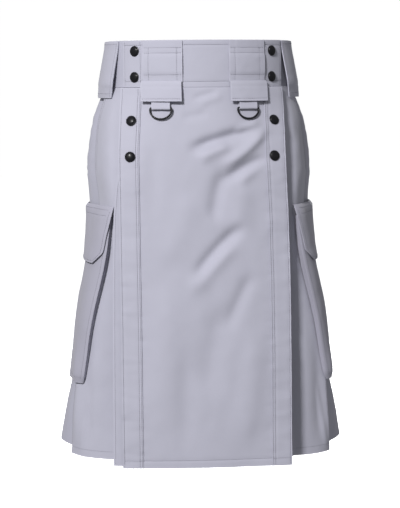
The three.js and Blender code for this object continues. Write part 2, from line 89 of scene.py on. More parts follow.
# Rows of stitches, by their distance down or in from an edge
BAND_ROWS = (7.0, 59.5)
LOOP_ROWS = (11.0, 18.6, 50.0)
COVER_ROW = 84.4
FLAP_ROWS = (245.0, 253.0)
POCKET_ROW = 492.0
PLACKET_ROWS = (2.6, PLACKET_WIDTH - 4.8, PLACKET_WIDTH - 1.6)


def table(columns, *rows):
    """Rows of values as dicts, under the names of their columns."""
    return [dict(zip(columns.split(), row)) for row in rows]


WAIST = table(
    "down half deep",
    (0, 138, 105), (68, 141, 110),
)

# Apron face: depth at its middle, how far it falls back 120 mm to the side, how square it is, and its edges
FACE = table(
    "down depth sag bow left right under edge",
    (68, 110, 47.6, 2.3, 116.5, 116, 0.3, 109), (95, 114.5, 38, 2.25, 118.8, 117, -1.4, 111),
    (125, 119.5, 27, 2.15, 121, 117.2, -3, 115), (170, 126, 18, 2, 123.6, 117.8, -4.4, 124),
    (260, 133, 13, 2, 123.6, 120.9, -5, 133.5), (400, 146, 11, 2, 123.3, 122.6, -5, 136.5),
    (620, 163, 8.5, 2, 123.3, 121.6, -5, 138),
)

# Skirt section behind the apron: points of one half from the front to the middle of the back
SKIRT = table(
    "down near edge shoulder fold side quarter back",
    (68, (80, -91.5), (112, -69.1), (126, -49.4), (136.2, -28.7), 141, (98, 79.2), 110),
    (92, (80, -93.2), (112, -75.5), (131, -58), (145.5, -30), 152, (103, 84), 113.5),
    (125, (80, -96), (112, -84), (136, -69), (154, -32), 163, (110, 90), 118),
    (187, (76, -102), (106, -98), (136.5, -89), (158, -45), 169.3, (118, 98), 124),
    (242, (72, -106), (102, -105), (131.5, -100), (153, -58), 166.2, (122, 103), 128),
    (310, (70, -109), (100, -108), (138, -98), (159, -64), 169, (128, 108), 132),
    (400, (70, -114), (102, -113), (156, -98), (173, -74), 185.2, (138, 114), 138),
    (500, (70, -120), (108, -118), (171, -100), (184, -82), 196, (148, 120), 144),
    (545, (70, -123.5), (110, -121), (170.5, -102), (188.5, -82), 206, (154, 123), 147),
    (616, (70, -129), (112, -126), (170, -106), (193.5, -78), 218.5, (161, 128), 152),
)

PLAN = table(
    "down recess join box open",
    (68, 5.4, 48, 24, 0), (187, 5.6, 54, 27, 0.1), (400, 8, 64, 33, 0.5), (500, 11, 69, 36, 0.8),
    (616, 19, 75, 40, 1),
)

POCKET = table(
    "down edge stand",
    (256, 136.5, 6.5), (282, 140, 10), (310, 144, 12), (400, 164.5, 10.5), (488, 181, 7.5),
    (501, 182.5, 3.6),
)

FLAP = table(
    "down edge lift",
    (240, 132, 3), (248, 134, 6.8), (256, 136.3, 9.8), (266, 139, 11.6), (285, 144, 13.6), (306, 149, 15),
    (314, 156.5, 15.8), (323, 166, 15.8),
)

LOOP = table(
    "down lift",
    (0.6, 0.5), (10, 0.8), (26, 3.0), (50, 6.4), (64, 8.0), (75, 4.4), (83.8, 0.8),
)

SIDES = {
    "left": dict(tab=(29.5, 84.8), cover=(31, 86.5), ring=60.5, loop=-57, shift=12),
    "right": dict(tab=(36.5, 88.5), cover=(37, 89.5), ring=62.5, loop=-60, shift=-10),
}

TAB = table(
    "down lift",
    (0.4, 2.8), (16, 2.9), (26, 4.2), (44, 4.4), (54, 3.0), (60.5, 2.8),
)
COVER = table(
    "down lift",
    (59, 5.2), (62, 6.4), (66, 7.3), (77, 8.0), (88.2, 8.7),
)

SNAPS = table(
    "down left right base",
    (15.6, 96.4, 100.5, 2.9), (53.2, 97, 100.3, 2.9), (115.8, 103, 101, 4.5), (167.3, 106.4, 100.6, 4.4),
)


class Crease(NamedTuple):
    """Soft trough or ridge between two points; bow bends it sideways, and a positive depth stands out."""
    x0: float
    d0: float
    x1: float
    d1: float
    bow: float
    width: float
    depth: float


# Creases of the front, in x and down
FRONT_CREASES = [Crease(*row) for row in (
    (24, 73, -20, 87, 1.5, 3.4, -2.0), (30, 80, -10, 95, 1.5, 4.5, 1.5), (8, 105, -36, 113, 0, 6, -1.8),
    (76, 129, -30, 161, 2, 8, -8.5), (40, 150, -12, 176, 4, 9, 4.4), (84, 119, 40, 137, 3, 5, 3.0),
    (94, 122, 20, 184, -6, 7.5, 6.2), (96, 168, 22, 206, 3, 7.5, -6), (88, 172, 44, 212, 2, 8, 2.8),
    (34, 180, 12, 268, 6, 11, -5), (60, 200, 48, 280, 3, 15, 3.0), (60, 262, -22, 350, 5, 9, -7),
    (50, 285, -28, 372, 4, 12, 4.2), (72, 330, 26, 425, 3, 10, -3.6), (-20, 210, -62, 330, -3, 20, 2.6),
    (30, 370, 0, 520, 6, 18, -4.0), (-52, 330, -64, 580, 4, 22, 3.0), (-26, 430, -34, 606, 2, 14, -2.2),
    (70, 400, 46, 600, -5, 18, 3.6), (-70, 130, -78, 260, 0, 12, -1.6),
)]

# Creases of each half of the skirt, in length from the side and down
SKIRT_CREASES = [Crease(*row) for row in (
    (-96, 400, -114, 612, -3, 12, -4.4), (-72, 430, -84, 612, 2, 10, 3.4), (-104, 500, -98, 612, 1, 4, 1.8),
    (-60, 84, -92, 128, 2, 6, -2.2), (-40, 118, -84, 178, 2, 9, 1.8), (-28, 180, -70, 226, 2, 9, -1.6),
    (-30, 420, -22, 612, 0, 10, 1.6), (18, 330, 22, 612, 3, 11, -3.0), (60, 110, 96, 170, 2, 9, -2.0),
    (96, 250, 112, 612, 4, 16, -3.2), (152, 200, 176, 612, -4, 18, 3.2), (170, 90, 214, 150, 3, 9, -2.2),
    (214, 260, 226, 612, 3, 18, -3.0),
)]


def smooth(t):
    """Step from 0 to 1 that starts and ends level."""
    c = np.clip(t, 0, 1)
    return c * c * (3 - 2 * c)


def at(table, column, down):
    """Value or pair of a table's column at a distance down, on a curve that never overshoots its rows."""
    rows = np.array([row["down"] for row in table], float)
    values = np.array([row[column] for row in table], float)
    slopes = np.diff(values, axis=0) / np.diff(rows).reshape(-1, *[1] * (values.ndim - 1))
    a, b = slopes[:-1], slopes[1:]
    same = a * b > 0
    inner = np.where(same, 2 * a * b / np.where(same, a + b, 1), 0)
    tangents = np.concatenate([slopes[:1], inner, slopes[-1:]])
    d = np.clip(down, rows[0], rows[-1])
    i = np.clip(np.searchsorted(rows, d, side="right") - 1, 0, len(rows) - 2)
    h = rows[i + 1] - rows[i]
    t = (d - rows[i]) / h
    u = 1 - t
    bend = tangents[i] * u - tangents[i + 1] * t
    return values[i] * u * u * (1 + 2 * t) + values[i + 1] * t * t * (3 - 2 * t) + bend * h * t * u


def unit(vectors):
    """Vectors scaled to a length of one."""
    return vectors / np.linalg.norm(vectors, axis=-1, keepdims=True)


def relief(creases, x, down):
    """How far the creases move a surface out at x and down."""
    total = np.zeros(np.broadcast(x, down).shape)
    for c in creases:
        ax, ad = c.x1 - c.x0, c.d1 - c.d0
        length = math.hypot(ax, ad)
        t = ((x - c.x0) * ax + (down - c.d0) * ad) / length ** 2
        inside = np.clip(t, 0, 1)
        off = ((down - c.d0) * ax - (x - c.x0) * ad) / length - 4 * c.bow * inside * (1 - inside)
        ends = smooth(t / 0.3) * smooth((1 - t) / 0.3)
        total = total + c.depth * np.exp(-(off / c.width) ** 2) * ends
    return total


def ripple(x, down, size, seed):
    """Gentle uneven waves between -1 and 1, the same on every run."""
    x, down = np.broadcast_arrays(np.asarray(x, float), np.asarray(down, float))
    flat = [noise.noise(Vector((a / size, b / size, seed))) for a, b in zip(x.ravel(), down.ravel())]
    return np.array(flat).reshape(x.shape)


def pucker(x, down, seam, reach, seed):
    """Small ripples that a row of stitches draws up across its line, dying away to its sides."""
    near = np.exp(-(np.abs(x - seam) / reach))
    return near * ripple(np.asarray(x) * 0.25, down, 5.5, seed)


def front_drape(x, down):
    """Folds of the apron and all that lies on it, none on the waistband."""
    below = smooth((down - BAND_HEIGHT) / 9)
    broad = 1.5 * ripple(x, down * 0.45, 52, 3.7) + 0.35 * ripple(x, down * 0.7, 17, 9.9)
    edge = np.where(x < 0, at(FACE, "left", down), at(FACE, "right", down)) - np.abs(x)
    seams = pucker(edge, down, PLACKET_WIDTH - 1, 7, 8.1) + pucker(edge, down, 2, 8, 12.4)
    strip = smooth((PLACKET_WIDTH + 5 - edge) / 8) * smooth(edge / 5 + 0.4)
    strip = strip * (0.9 * ripple(x * 0.12, down, 15, 4.4) + 0.5 * ripple(x * 0.2, down, 7, 1.9))
    hem = 0.5 * np.exp(-np.abs(down - APRON_HEM + HEM_DEPTH) / 6) * ripple(x, down * 0.3, 8, 5.5)
    return below * (relief(FRONT_CREASES, x, down) + broad + 0.9 * seams + hem + strip)


def skirt_drape(side, length, down):
    """Folds of the skirt behind the apron, growing towards the hem."""
    below = smooth((down - BAND_HEIGHT) / 14)
    grow = 0.25 + 0.75 * smooth((down - 300) / 250)
    offset = 6.0 if side > 0 else 0.0
    folds = relief(SKIRT_CREASES, length + offset, down)
    seam = 1.1 * np.exp(-(length / 16) ** 2) * smooth((down - 80) / 20) * smooth((215 - down) / 25)
    seam = seam * ripple(length * 0.15, down, 5.5, 7.3 + side)
    return below * (seam + folds * grow + 1.2 * ripple(length + 90 * side, down * 0.4, 34, 2.2 + side)
                    + 0.4 * ripple(length, down * 0.7, 15, 5.1 + side))


def front_depth(x, down):
    """Depth of the front's surface: the waistband's oval above, the apron's own curve below."""
    half = at(WAIST, "half", down)
    oval = at(WAIST, "deep", down) * np.sqrt(np.clip(1 - (x / half) ** 2, 0, 1))
    curve = at(FACE, "depth", down) - at(FACE, "sag", down) * np.abs(x / 120) ** at(FACE, "bow", down)
    return np.where(down <= BAND_HEIGHT, oval, curve)


def front(x, down, lift, draped=True):
    """Points on the front moved out by lift, with the apron's folds."""
    x, down, lift = np.broadcast_arrays(*(np.asarray(v, float) for v in (x, down, lift)))
    if draped:
        lift = lift + front_drape(x, down)
    slope = front_depth(x + 0.5, down) - front_depth(x - 0.5, down)
    length = np.hypot(slope, 1)
    return np.stack([x - slope / length * lift, -front_depth(x, down) - lift / length, TOP - down], -1)


def spline(knots, per_span):
    """Centripetal curve through all but the last knot, which only steers its end."""
    ends = [2 * knots[0] - knots[1], *knots]
    points = []
    for a, b, c, d in zip(ends, ends[1:], ends[2:], ends[3:]):
        before, span, after = (max(np.linalg.norm(q - p), 1e-4) ** 0.5 for p, q in ((a, b), (b, c), (c, d)))
        t1 = ((b - a) / before - (c - a) / (before + span) + (c - b) / span) * span
        t2 = ((c - b) / span - (d - b) / (span + after) + (d - c) / after) * span
        t = np.linspace(0, 1, per_span, endpoint=False)[:, None]
        points.append(b + t1 * t + (3 * (c - b) - 2 * t1 - t2) * t ** 2 + (2 * (b - c) + t1 + t2) * t ** 3)
    return np.concatenate([*points, knots[-2:-1]])


SECTIONS = {}


def section(down):
    """Half section at a distance down: points, directions and lengths from the side, below 0 in front."""
    key = round(float(down), 3)
    if key in SECTIONS:
        return SECTIONS[key]
    if down <= BAND_HEIGHT:
        angle = np.linspace(0.1, 1, 300) * math.pi
        half, deep = at(WAIST, "half", down), at(WAIST, "deep", down)
        points = np.stack([half * np.sin(angle), -deep * np.cos(angle)], -1)
    else:
        names = ("near", "edge", "shoulder", "fold")
        quarter = at(SKIRT, "quarter", down)
        knots = [at(SKIRT, n, down) for n in names] + [np.array([at(SKIRT, "side", down), 0.0]), quarter]
        knots += [np.array([0.0, at(SKIRT, "back", down)]), quarter * (-1, 1)]
        points = spline(knots, 50)
    steps = np.linalg.norm(np.diff(points, axis=0), axis=1)
    lengths = np.concatenate([[0], np.cumsum(steps)])
    along = np.gradient(points, lengths, axis=0)
    along = unit(along)
    k = int(np.argmax(points[:, 1] >= 0))
    part = -points[k - 1, 1] / (points[k, 1] - points[k - 1, 1])
    lengths = lengths - (lengths[k - 1] + (lengths[k] - lengths[k - 1]) * part)
    SECTIONS[key] = (points, along, lengths)
    return SECTIONS[key]


def section_end(down):
    """Length from the side to the middle of the back."""
    return section(down)[2][-1]


def skirt_row(side, length, down, lift):
    """Points of one level of the skirt, moved out by lift; past the middle they go on round the back."""
    points, along, lengths = section(down)
    length, lift = np.broadcast_arrays(np.asarray(length, float), np.asarray(lift, float))
    over = length > lengths[-1]
    inside = np.where(over, 2 * lengths[-1] - length, length)
    x, y, ax, ay = (np.interp(inside, lengths, column) for column in (*points.T, *along.T))
    norm = np.hypot(ax, ay)
    drape = lift + skirt_drape(side, inside, down)
    sign = np.where(over, -side, side)
    return np.stack([sign * (x + ay / norm * drape), y - ax / norm * drape, np.full(x.shape, TOP - down)], -1)


def skirt(side, length, down, lift):
    """Points on the skirt for arrays of lengths, downs and lifts."""
    length, down, lift = np.broadcast_arrays(*(np.asarray(v, float) for v in (length, down, lift)))
    flat = [skirt_row(side, s, d, f) for s, d, f in zip(length.ravel(), down.ravel(), lift.ravel())]
    return np.array(flat).reshape(*length.shape, 3)


def length_at_x(down, x, lift=0.0):
    """Length from the side at which the front half of a section, moved out by lift, reaches x."""
    points, along, lengths = section(down)
    front_half = lengths <= 0
    across = points[front_half, 0] + along[front_half, 1] * lift
    return float(np.interp(x, across, lengths[front_half]))


def fold_length(side, down):
    """Length from the side of the front pleat's fold."""
    points, _, lengths = section(down)
    target = at(SKIRT, "fold", down)[1]
    ahead = lengths <= 0
    shift = SIDES[handed(side)]["shift"] * smooth((down - 400) / 150)
    return float(np.interp(target, points[ahead, 1], lengths[ahead])) + float(shift)


def handed(side):
    """Name of a side, -1 left or +1 right as seen from the front."""
    return "left" if side < 0 else "right"


def levels(start, end, step, *wanted):
    """Distances from start to end about a step apart, with the wanted ones among them."""
    stops = sorted({float(start), float(end), *(float(w) for w in wanted if start < w < end)})
    parts = [np.linspace(a, b, max(int(math.ceil((b - a) / step)), 1), endpoint=False)
             for a, b in zip(stops, stops[1:])]
    return np.concatenate([*parts, stops[-1:]])


def arc(centre, radius, start, end, count=5):
    """Points of a turn in a section's length and lift, from one angle to another in degrees."""
    angles = np.radians(np.linspace(start, end, count))
    return [[centre[0] + radius * math.cos(a), centre[1] + radius * math.sin(a)] for a in angles]


def resample(line, step):
    """Line with points about a step apart on its straight stretches."""
    line = np.asarray(line, float)
    out = [line[:1]]
    for a, b in zip(line, line[1:]):
        count = max(int(np.linalg.norm(b - a) / step), 1)
        out.append(a + (b - a) * np.linspace(0, 1, count + 1)[1:, None])
    return np.concatenate(out)


def ribbon(line, thickness):
    """Two lines beside a folded line, half the cloth's thickness to each side."""
    line = np.asarray(line, float)
    steps = np.diff(line, axis=0)
    steps = unit(steps)
    before = np.concatenate([steps[:1], steps])
    after = np.concatenate([steps, steps[-1:]])
    turned = np.stack([-before[:, 1] - after[:, 1], before[:, 0] + after[:, 0]], -1)
    turned = unit(turned)
    square = np.stack([-before[:, 1], before[:, 0]], -1)
    reach = thickness / 2 / np.clip(np.sum(turned * square, axis=1), 0.6, None)
    return line + turned * reach[:, None], line - turned * reach[:, None]


def add(name, data):
    """New object in the scene."""
    obj = bpy.data.objects.new(name, data)
    bpy.context.scene.collection.objects.link(obj)
    return obj


def new_mesh(name, points, faces):
    """Mesh from points in metres."""
    mesh = bpy.data.meshes.new(name)
    mesh.from_pydata(np.asarray(points, float).tolist(), [], faces)
    return mesh


def grid_faces(rows, cols, closed):
    """Quads over a grid of points and the same grid behind it, with the rims between them."""
    spans = cols if closed else cols - 1
    r, c = np.meshgrid(np.arange(rows - 1), np.arange(spans), indexing="ij")
    r, c = r.ravel(), c.ravel()
    n = (c + 1) % cols
    front_quads = np.stack([r * cols + c, (r + 1) * cols + c, (r + 1) * cols + n, r * cols + n], -1)
    back = rows * cols
    back_quads = front_quads[:, ::-1] + back
    c = np.arange(spans)
    n = (c + 1) % cols
    last = (rows - 1) * cols
    top = np.stack([c, n, n + back, c + back], -1)
    foot = np.stack([last + n, last + c, last + c + back, last + n + back], -1)
    parts = [front_quads, back_quads, top, foot]
    if not closed:
        r = np.arange(rows - 1) * cols
        parts.append(np.stack([r + cols, r, r + back, r + cols + back], -1))
        e = r + cols - 1
        parts.append(np.stack([e, e + cols, e + cols + back, e + back], -1))
    return np.concatenate(parts)


def cloth_piece(
    node, outer, inner, look="twill", rests_on=("waistband",), closed=False, reverse=False,
    body="kilt", slot="cloth",
):
    """Cloth between two grids of points in millimetres, with worn rims and its lengths as UV."""
    rows, cols = outer.shape[:2]
    points = np.concatenate([outer.reshape(-1, 3), inner.reshape(-1, 3)]) * MM
    faces = grid_faces(rows, cols, closed)
    if reverse:
        faces = faces[:, ::-1]
    mesh = new_mesh(f"{node}_cloth", points, faces.tolist())
    across = np.linalg.norm(np.diff(outer, axis=1), axis=2)
    u = np.concatenate([np.zeros((rows, 1)), np.cumsum(across, axis=1)], axis=1)
    u = u - u[:, cols // 2:cols // 2 + 1]
    along = np.linalg.norm(np.diff(outer, axis=0), axis=2)
    v = np.concatenate([np.zeros((1, cols)), np.cumsum(along, axis=0)])
    middle = v[:, cols // 2:cols // 2 + 1] + np.zeros((1, cols))
    uv = np.stack([np.tile(u, (2, 1)).reshape(-1), np.tile(middle, (2, 1)).reshape(-1)], -1) * MM
    loops = np.zeros(len(mesh.loops), np.int32)
    mesh.loops.foreach_get("vertex_index", loops)
    layer = mesh.uv_layers.new(name="cloth")
    layer.data.foreach_set("uv", uv[loops].astype(np.float32).ravel())
    rim = np.minimum(v, v[-1:] - v)
    if not closed:
        rim = np.minimum(rim, np.minimum(u - u[:, :1], u[:, -1:] - u))
    worn = np.tile(np.exp(-rim / 1.6), (2, 1)).reshape(-1)
    mesh.attributes.new("wear", "FLOAT", "POINT").data.foreach_set("value", worn.astype(np.float32))
    mesh.shade_smooth()
    mesh.set_sharp_from_angle(angle=math.radians(50))
    obj = add(mesh.name, mesh)
    bevel = obj.modifiers.new("Rim", "BEVEL")
    bevel.limit_method = "ANGLE"
    bevel.angle_limit = math.radians(55)
    bevel.width = 0.35 * MM
    bevel.segments = 2
    mesh.materials.append(material(look))
    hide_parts(node)
    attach(obj, body)
    width, length = float(across.sum(axis=1).max()) * MM, float(v[-1].max()) * MM
    area = min(grid_area(outer, closed) * MM * MM, width * length)


def grid_area(grid, closed):
    """Area of a grid of points."""
    if closed:
        grid = np.concatenate([grid, grid[:, :1]], axis=1)
    a, b, c, d = grid[:-1, :-1], grid[1:, :-1], grid[1:, 1:], grid[:-1, 1:]
    halves = np.linalg.norm(np.cross(b - a, c - a), axis=2) + np.linalg.norm(np.cross(c - a, d - a), axis=2)
    return float(halves.sum() / 2)


def front_piece(node, downs, columns, outer, thickness, draped=True, **sewing):
    """Cloth on the front between two lifts; columns are given, or made for each distance down."""
    xs = np.stack([columns(d) if callable(columns) else columns for d in downs])
    ds = np.repeat(np.asarray(downs)[:, None], xs.shape[1], axis=1)
    lifts = outer(ds, xs)
    cloth_piece(node, front(xs, ds, lifts, draped), front(xs, ds, lifts - thickness, draped), **sewing)


def folded_piece(node, side, downs, line, thickness, drop=None, **sewing):
    """Cloth whose section at each level is a folded line of length and lift."""
    grids = [[], []]
    for down in downs:
        for k, edge in enumerate(ribbon(line(down), thickness)):
            if drop is None or not drop(down, 0.0):
                grids[k].append(skirt_row(side, edge[:, 0], down, edge[:, 1]))
            else:
                t = np.linspace(0, 1, len(edge))
                grids[k].append(skirt(side, edge[:, 0], down + drop(down, t), edge[:, 1]))
    cloth_piece(node, np.array(grids[0]), np.array(grids[1]), reverse=side > 0, **sewing)


class Socket:
    """Output of a shader node that takes part in sums, products and comparisons."""

    def __init__(self, graph, output):
        self.graph = graph
        self.output = output

    def _math(self, operation, *values, clamp=False):
        node = self.graph.tree.nodes.new("ShaderNodeMath")
        node.operation = operation
        node.use_clamp = clamp
        for socket, value in zip(node.inputs, values):
            self.graph.feed(socket, value)
        return Socket(self.graph, node.outputs[0])

    def __add__(self, other):
        return self._math("ADD", self, other)

    __radd__ = __add__

    def __sub__(self, other):
        return self._math("SUBTRACT", self, other)

    def __rsub__(self, other):
        return self._math("SUBTRACT", other, self)

    def __mul__(self, other):
        return self._math("MULTIPLY", self, other)

    __rmul__ = __mul__

    def __pow__(self, other):
        return self._math("POWER", self, other)

    def sine(self):
        return self._math("SINE", self)

    def clamped(self):
        return self._math("ADD", self, 0.0, clamp=True)


class Graph:
    """Node tree of one material, built from expressions."""

    def __init__(self, name):
        self.material = bpy.data.materials.new(name)
        self.material.use_nodes = True
        self.tree = self.material.node_tree
        self.tree.nodes.clear()

    def feed(self, socket, value):
        """Links a socket to another, or sets its constant."""
        if isinstance(value, Socket):
            self.tree.links.new(value.output, socket)
        else:
            socket.default_value = value

    def node(self, kind, settings=None, output=0, **sockets):
        """Any node from its type, settings and sockets by name; returns one of its outputs."""
        made = self.tree.nodes.new(kind)
        for key, value in (settings or {}).items():
            setattr(made, key, value)
        for key, value in sockets.items():
            self.feed(made.inputs[key.replace("_", " ")], value)
        return Socket(self, made.outputs[output])

    def mix(self, factor, first, second):
        """Colour between two others."""
        made = self.tree.nodes.new("ShaderNodeMix")
        made.data_type = "RGBA"
        self.feed(made.inputs[0], factor)
        self.feed(made.inputs[6], first)
        self.feed(made.inputs[7], second)
        return Socket(self, made.outputs[2])

    def surface(self, **sockets):
        """Principled surface with the given inputs, as the material's output."""
        shader = self.tree.nodes.new("ShaderNodeBsdfPrincipled")
        for key, value in sockets.items():
            self.feed(shader.inputs[key.replace("_", " ")], value)
        output = self.tree.nodes.new("ShaderNodeOutputMaterial")
        self.tree.links.new(shader.outputs[0], output.inputs[0])
        return self.material

    def noise(self, vector, scale, detail=3.0, roughness=0.5):
        """Value of a noise texture from 0 to 1."""
        return self.node("ShaderNodeTexNoise", Vector=vector, Scale=scale, Detail=detail, Roughness=roughness)


def twill_material(name, settings, tint=(1.0, 1.0, 1.0)):
    """Matte cotton twill: diagonal wales, mottled dye, paler rims and a soft nap. Its tint paints shade on
    darker copies.
    """
    g = Graph(name)
    uv = g.node("ShaderNodeUVMap", {"uv_map": "cloth"})
    place = g.node("ShaderNodeTexCoord", output=3)
    parts = g.tree.nodes.new("ShaderNodeSeparateXYZ")
    g.feed(parts.inputs[0], uv)
    u, v = Socket(g, parts.outputs[0]), Socket(g, parts.outputs[1])
    turns = 2 * math.pi / (settings.twill_pitch * MM)
    wobble = g.noise(uv, 900.0, 2.0) * 1.6
    wale = ((u * 0.78 + v * 0.62) * turns + wobble).sine()
    thread = ((u * 0.62 - v * 0.78) * (turns * 1.9) + wobble * 2.0).sine()
    fibre = g.noise(uv, 3800.0, 4.0, 0.65)
    dye = g.noise(place, 26.0, 4.0, 0.6)
    slub = g.noise(uv, 420.0, 3.0, 0.6)
    base = settings.cloth_colour
    light = [min(base[k] * tint[k] * 1.06, 1.0) for k in range(3)] + [1.0]
    dark = [base[k] * tint[k] * 0.93 for k in range(3)] + [1.0]
    mottled = g.mix((dye * 0.55 + slub * 0.25 + fibre * 0.2 + wale * 0.05).clamped(), dark, light)
    wear = g.node("ShaderNodeAttribute", {"attribute_name": "wear"}, output=2)
    pale = [min(c * 1.12, 1.0) for c in light[:3]] + [1.0]
    colour = g.mix((wear * 0.35 * (slub * 0.8 + 0.4)).clamped(), mottled, pale)
    height = wale * 0.5 + thread * 0.25 + fibre * 0.8
    normal = g.node("ShaderNodeBump", Strength=0.35, Distance=0.00012, Height=height)
    rough = (0.84 + dye * 0.1 - wear * 0.05).clamped()
    return g.surface(Base_Color=colour, Roughness=rough, Normal=normal, Sheen_Weight=0.18,
                     Sheen_Roughness=0.5, Specular_IOR_Level=0.3)


def thread_material(name, settings):
    """Sewing thread, darker than the cloth, with its twist."""
    g = Graph(name)
    place = g.node("ShaderNodeTexCoord", output=3)
    twist = g.noise(place, 1800.0, 2.0)
    base = settings.thread_colour
    dark = [c * 0.82 for c in base[:3]] + [1.0]
    colour = g.mix(twist, dark, [min(c * 1.1, 1.0) for c in base[:3]] + [1.0])
    normal = g.node("ShaderNodeBump", Strength=0.4, Distance=0.0001, Height=twist)
    return g.surface(Base_Color=colour, Roughness=0.6, Normal=normal, Sheen_Weight=0.1)


def metal_material(name, base, rough, coat, worn):
    """Black lacquer over metal, with faint scuffs."""
    g = Graph(name)
    place = g.node("ShaderNodeTexCoord", output=3)
    scuff = g.noise(place, 520.0, 5.0, 0.7)
    film = g.noise(place, 90.0, 3.0)
    colour = g.mix((scuff ** 4.0 * worn).clamped(), [*base, 1.0], [0.22, 0.22, 0.23, 1.0])
    roughness = (rough + film * 0.12 + scuff * 0.06).clamped()
    normal = g.node("ShaderNodeBump", Strength=0.12, Distance=0.00005, Height=scuff)
    return g.surface(Base_Color=colour, Roughness=roughness, Normal=normal, Metallic=0.0,
                     Specular_IOR_Level=0.1, Coat_Weight=coat, Coat_Roughness=0.14)


def material(name):
    """Named material, made on first use."""
    settings = bpy.context.scene.kilt
    if name in bpy.data.materials:
        return bpy.data.materials[name]
    makers = {
        "twill": lambda: twill_material(name, settings),
        # The recessed panels' twill carries painted shade, a little darker and bluer
        "twill_recess_shade": lambda: twill_material(name, settings, settings.recess_shade_tint),
        # The pockets' twill carries painted shade, darker as they face sideways
        "twill_pocket_shade": lambda: twill_material(name, settings, settings.pocket_shade_tint),
        "thread": lambda: thread_material(name, settings),
        "snap_lacquer": lambda: metal_material(name, (0.006, 0.006, 0.008), 0.3, 0.12, 0.1),
        "ring_lacquer": lambda: metal_material(name, (0.008, 0.008, 0.010), 0.35, 0.05, 0.2),
    }
    return makers[name]()


class KiltSettings(bpy.types.PropertyGroup):
    """Cloth and sewing of the kilt."""

    cloth_colour: FloatVectorProperty(
        name="Cloth colour", description="Base colour of the twill", subtype="COLOR", size=3,
        default=(0.352, 0.354, 0.425), min=0, max=1)
    # Painted shade: darker, bluer tint for the waistband and side panels, which sit back in shade
    recess_shade_tint: FloatVectorProperty(
        name="Inner tint", description="Tint of the recessed panels", size=3, default=(0.97, 0.97, 0.98))
    # Painted shade: darker tint for the pockets and flaps, which face sideways away from the light
    pocket_shade_tint: FloatVectorProperty(
        name="Side tint", description="Painted shade of the pockets, which face sideways", size=3,
        default=(0.86, 0.85, 0.86))
    thread_colour: FloatVectorProperty(
        name="Thread colour", description="Colour of the sewing thread", subtype="COLOR", size=3,
        default=(0.19, 0.19, 0.235), min=0, max=1)
    twill_pitch: FloatProperty(
        name="Twill pitch", description="Distance between wales, in millimetres", default=1.1, min=0.3, max=4)
    stitch_pitch: FloatProperty(
        name="Stitch pitch", description="Stitch and gap, in millimetres", default=3.2, min=1, max=8)
    stitch_width: FloatProperty(
        name="Thread width", description="Width of a stitch, in millimetres", default=0.7, min=0.1, max=2)


class StageSettings(bpy.types.PropertyGroup):
    """Floor, lights and camera."""

    floor_drop: FloatProperty(
        name="Floor drop", description="Distance from the hem to the floor", default=0.42, unit="LENGTH")
    key_power: FloatProperty(name="Key light", description="Power of the key light", default=200.0)
    fill_power: FloatProperty(name="Fill light", description="Power of the fill light", default=0.5)
    back_power: FloatProperty(name="Back light", description="Power of the light behind", default=120.0)
    sky_strength: FloatProperty(name="Sky", description="Strength of the even light", default=0.33)
    distance: FloatProperty(
        name="Camera distance", description="Distance from the kilt's axis", default=2.5, unit="LENGTH")
    azimuth: FloatProperty(
        name="Azimuth", description="Camera's turn from the front", default=math.radians(-4), subtype="ANGLE")
    pitch: FloatProperty(
        name="Pitch", description="Camera's look down", default=math.radians(6.114), subtype="ANGLE")
    roll: FloatProperty(
        name="Roll", description="Lean of the camera", default=math.radians(0.4), subtype="ANGLE")
    focal: FloatProperty(name="Focal length", description="Lens in millimetres", default=116.86)
    height: FloatProperty(
        name="Camera height", description="Camera's height over the origin", default=-0.020, unit="LENGTH")


class PieceOperator:
    """What every operator of the kilt shares."""

    bl_options = {"REGISTER", "UNDO"}


class KILT_OT_waistband(PieceOperator, bpy.types.Operator):
    """Waistband and the apron's band over its front"""

    bl_idname = "kilt.waistband"
    bl_label = "Waistband"

    def execute(self, context):
        downs = levels(0, BAND_HEIGHT, 4)
        angles = np.linspace(0, 2 * math.pi, 240, endpoint=False)
        half, deep = at(WAIST, "half", downs)[:, None], at(WAIST, "deep", downs)[:, None]
        way = np.stack([np.sin(angles) / half, -np.cos(angles) / deep], -1)
        way = unit(way)
        base = np.stack([half * np.sin(angles), -deep * np.cos(angles)], -1)
        z = np.repeat(TOP - downs[:, None], len(angles), axis=1)
        grids = [np.concatenate([base + way * lift, z[:, :, None]], axis=2) for lift in (0.0, -BAND_WALL)]
        # The waistband's twill carries painted shade, darker as it sits back behind the apron's band
        cloth_piece("waistband", *grids, look="twill_recess_shade", rests_on=(), closed=True)
        columns = levels(-BAND_ENDS["left"], BAND_ENDS["right"], 2.5)

        def lift(d, x):
            middle = np.sin(math.pi * np.clip((d - 6) / (BAND_HEIGHT - 14), 0, 1))
            swell = 0.4 * middle * ripple(x, d, 26, 1.3)
            return 2.5 + swell - 0.5 * dent(d, BAND_ROWS) + 0.12 * ripple(x, d, 6, 4.4)

        downs = levels(0, BAND_HEIGHT - 0.1, 2.2, *BAND_ROWS)
        front_piece("apron_band", downs, columns, lift, 1.9, draped=False)
        return {"FINISHED"}


def dent(position, lines, width=1.3):
    """Depth from 0 to 1 of the troughs that rows of stitches press into cloth."""
    return sum(np.exp(-((position - line) / width) ** 2) for line in lines)


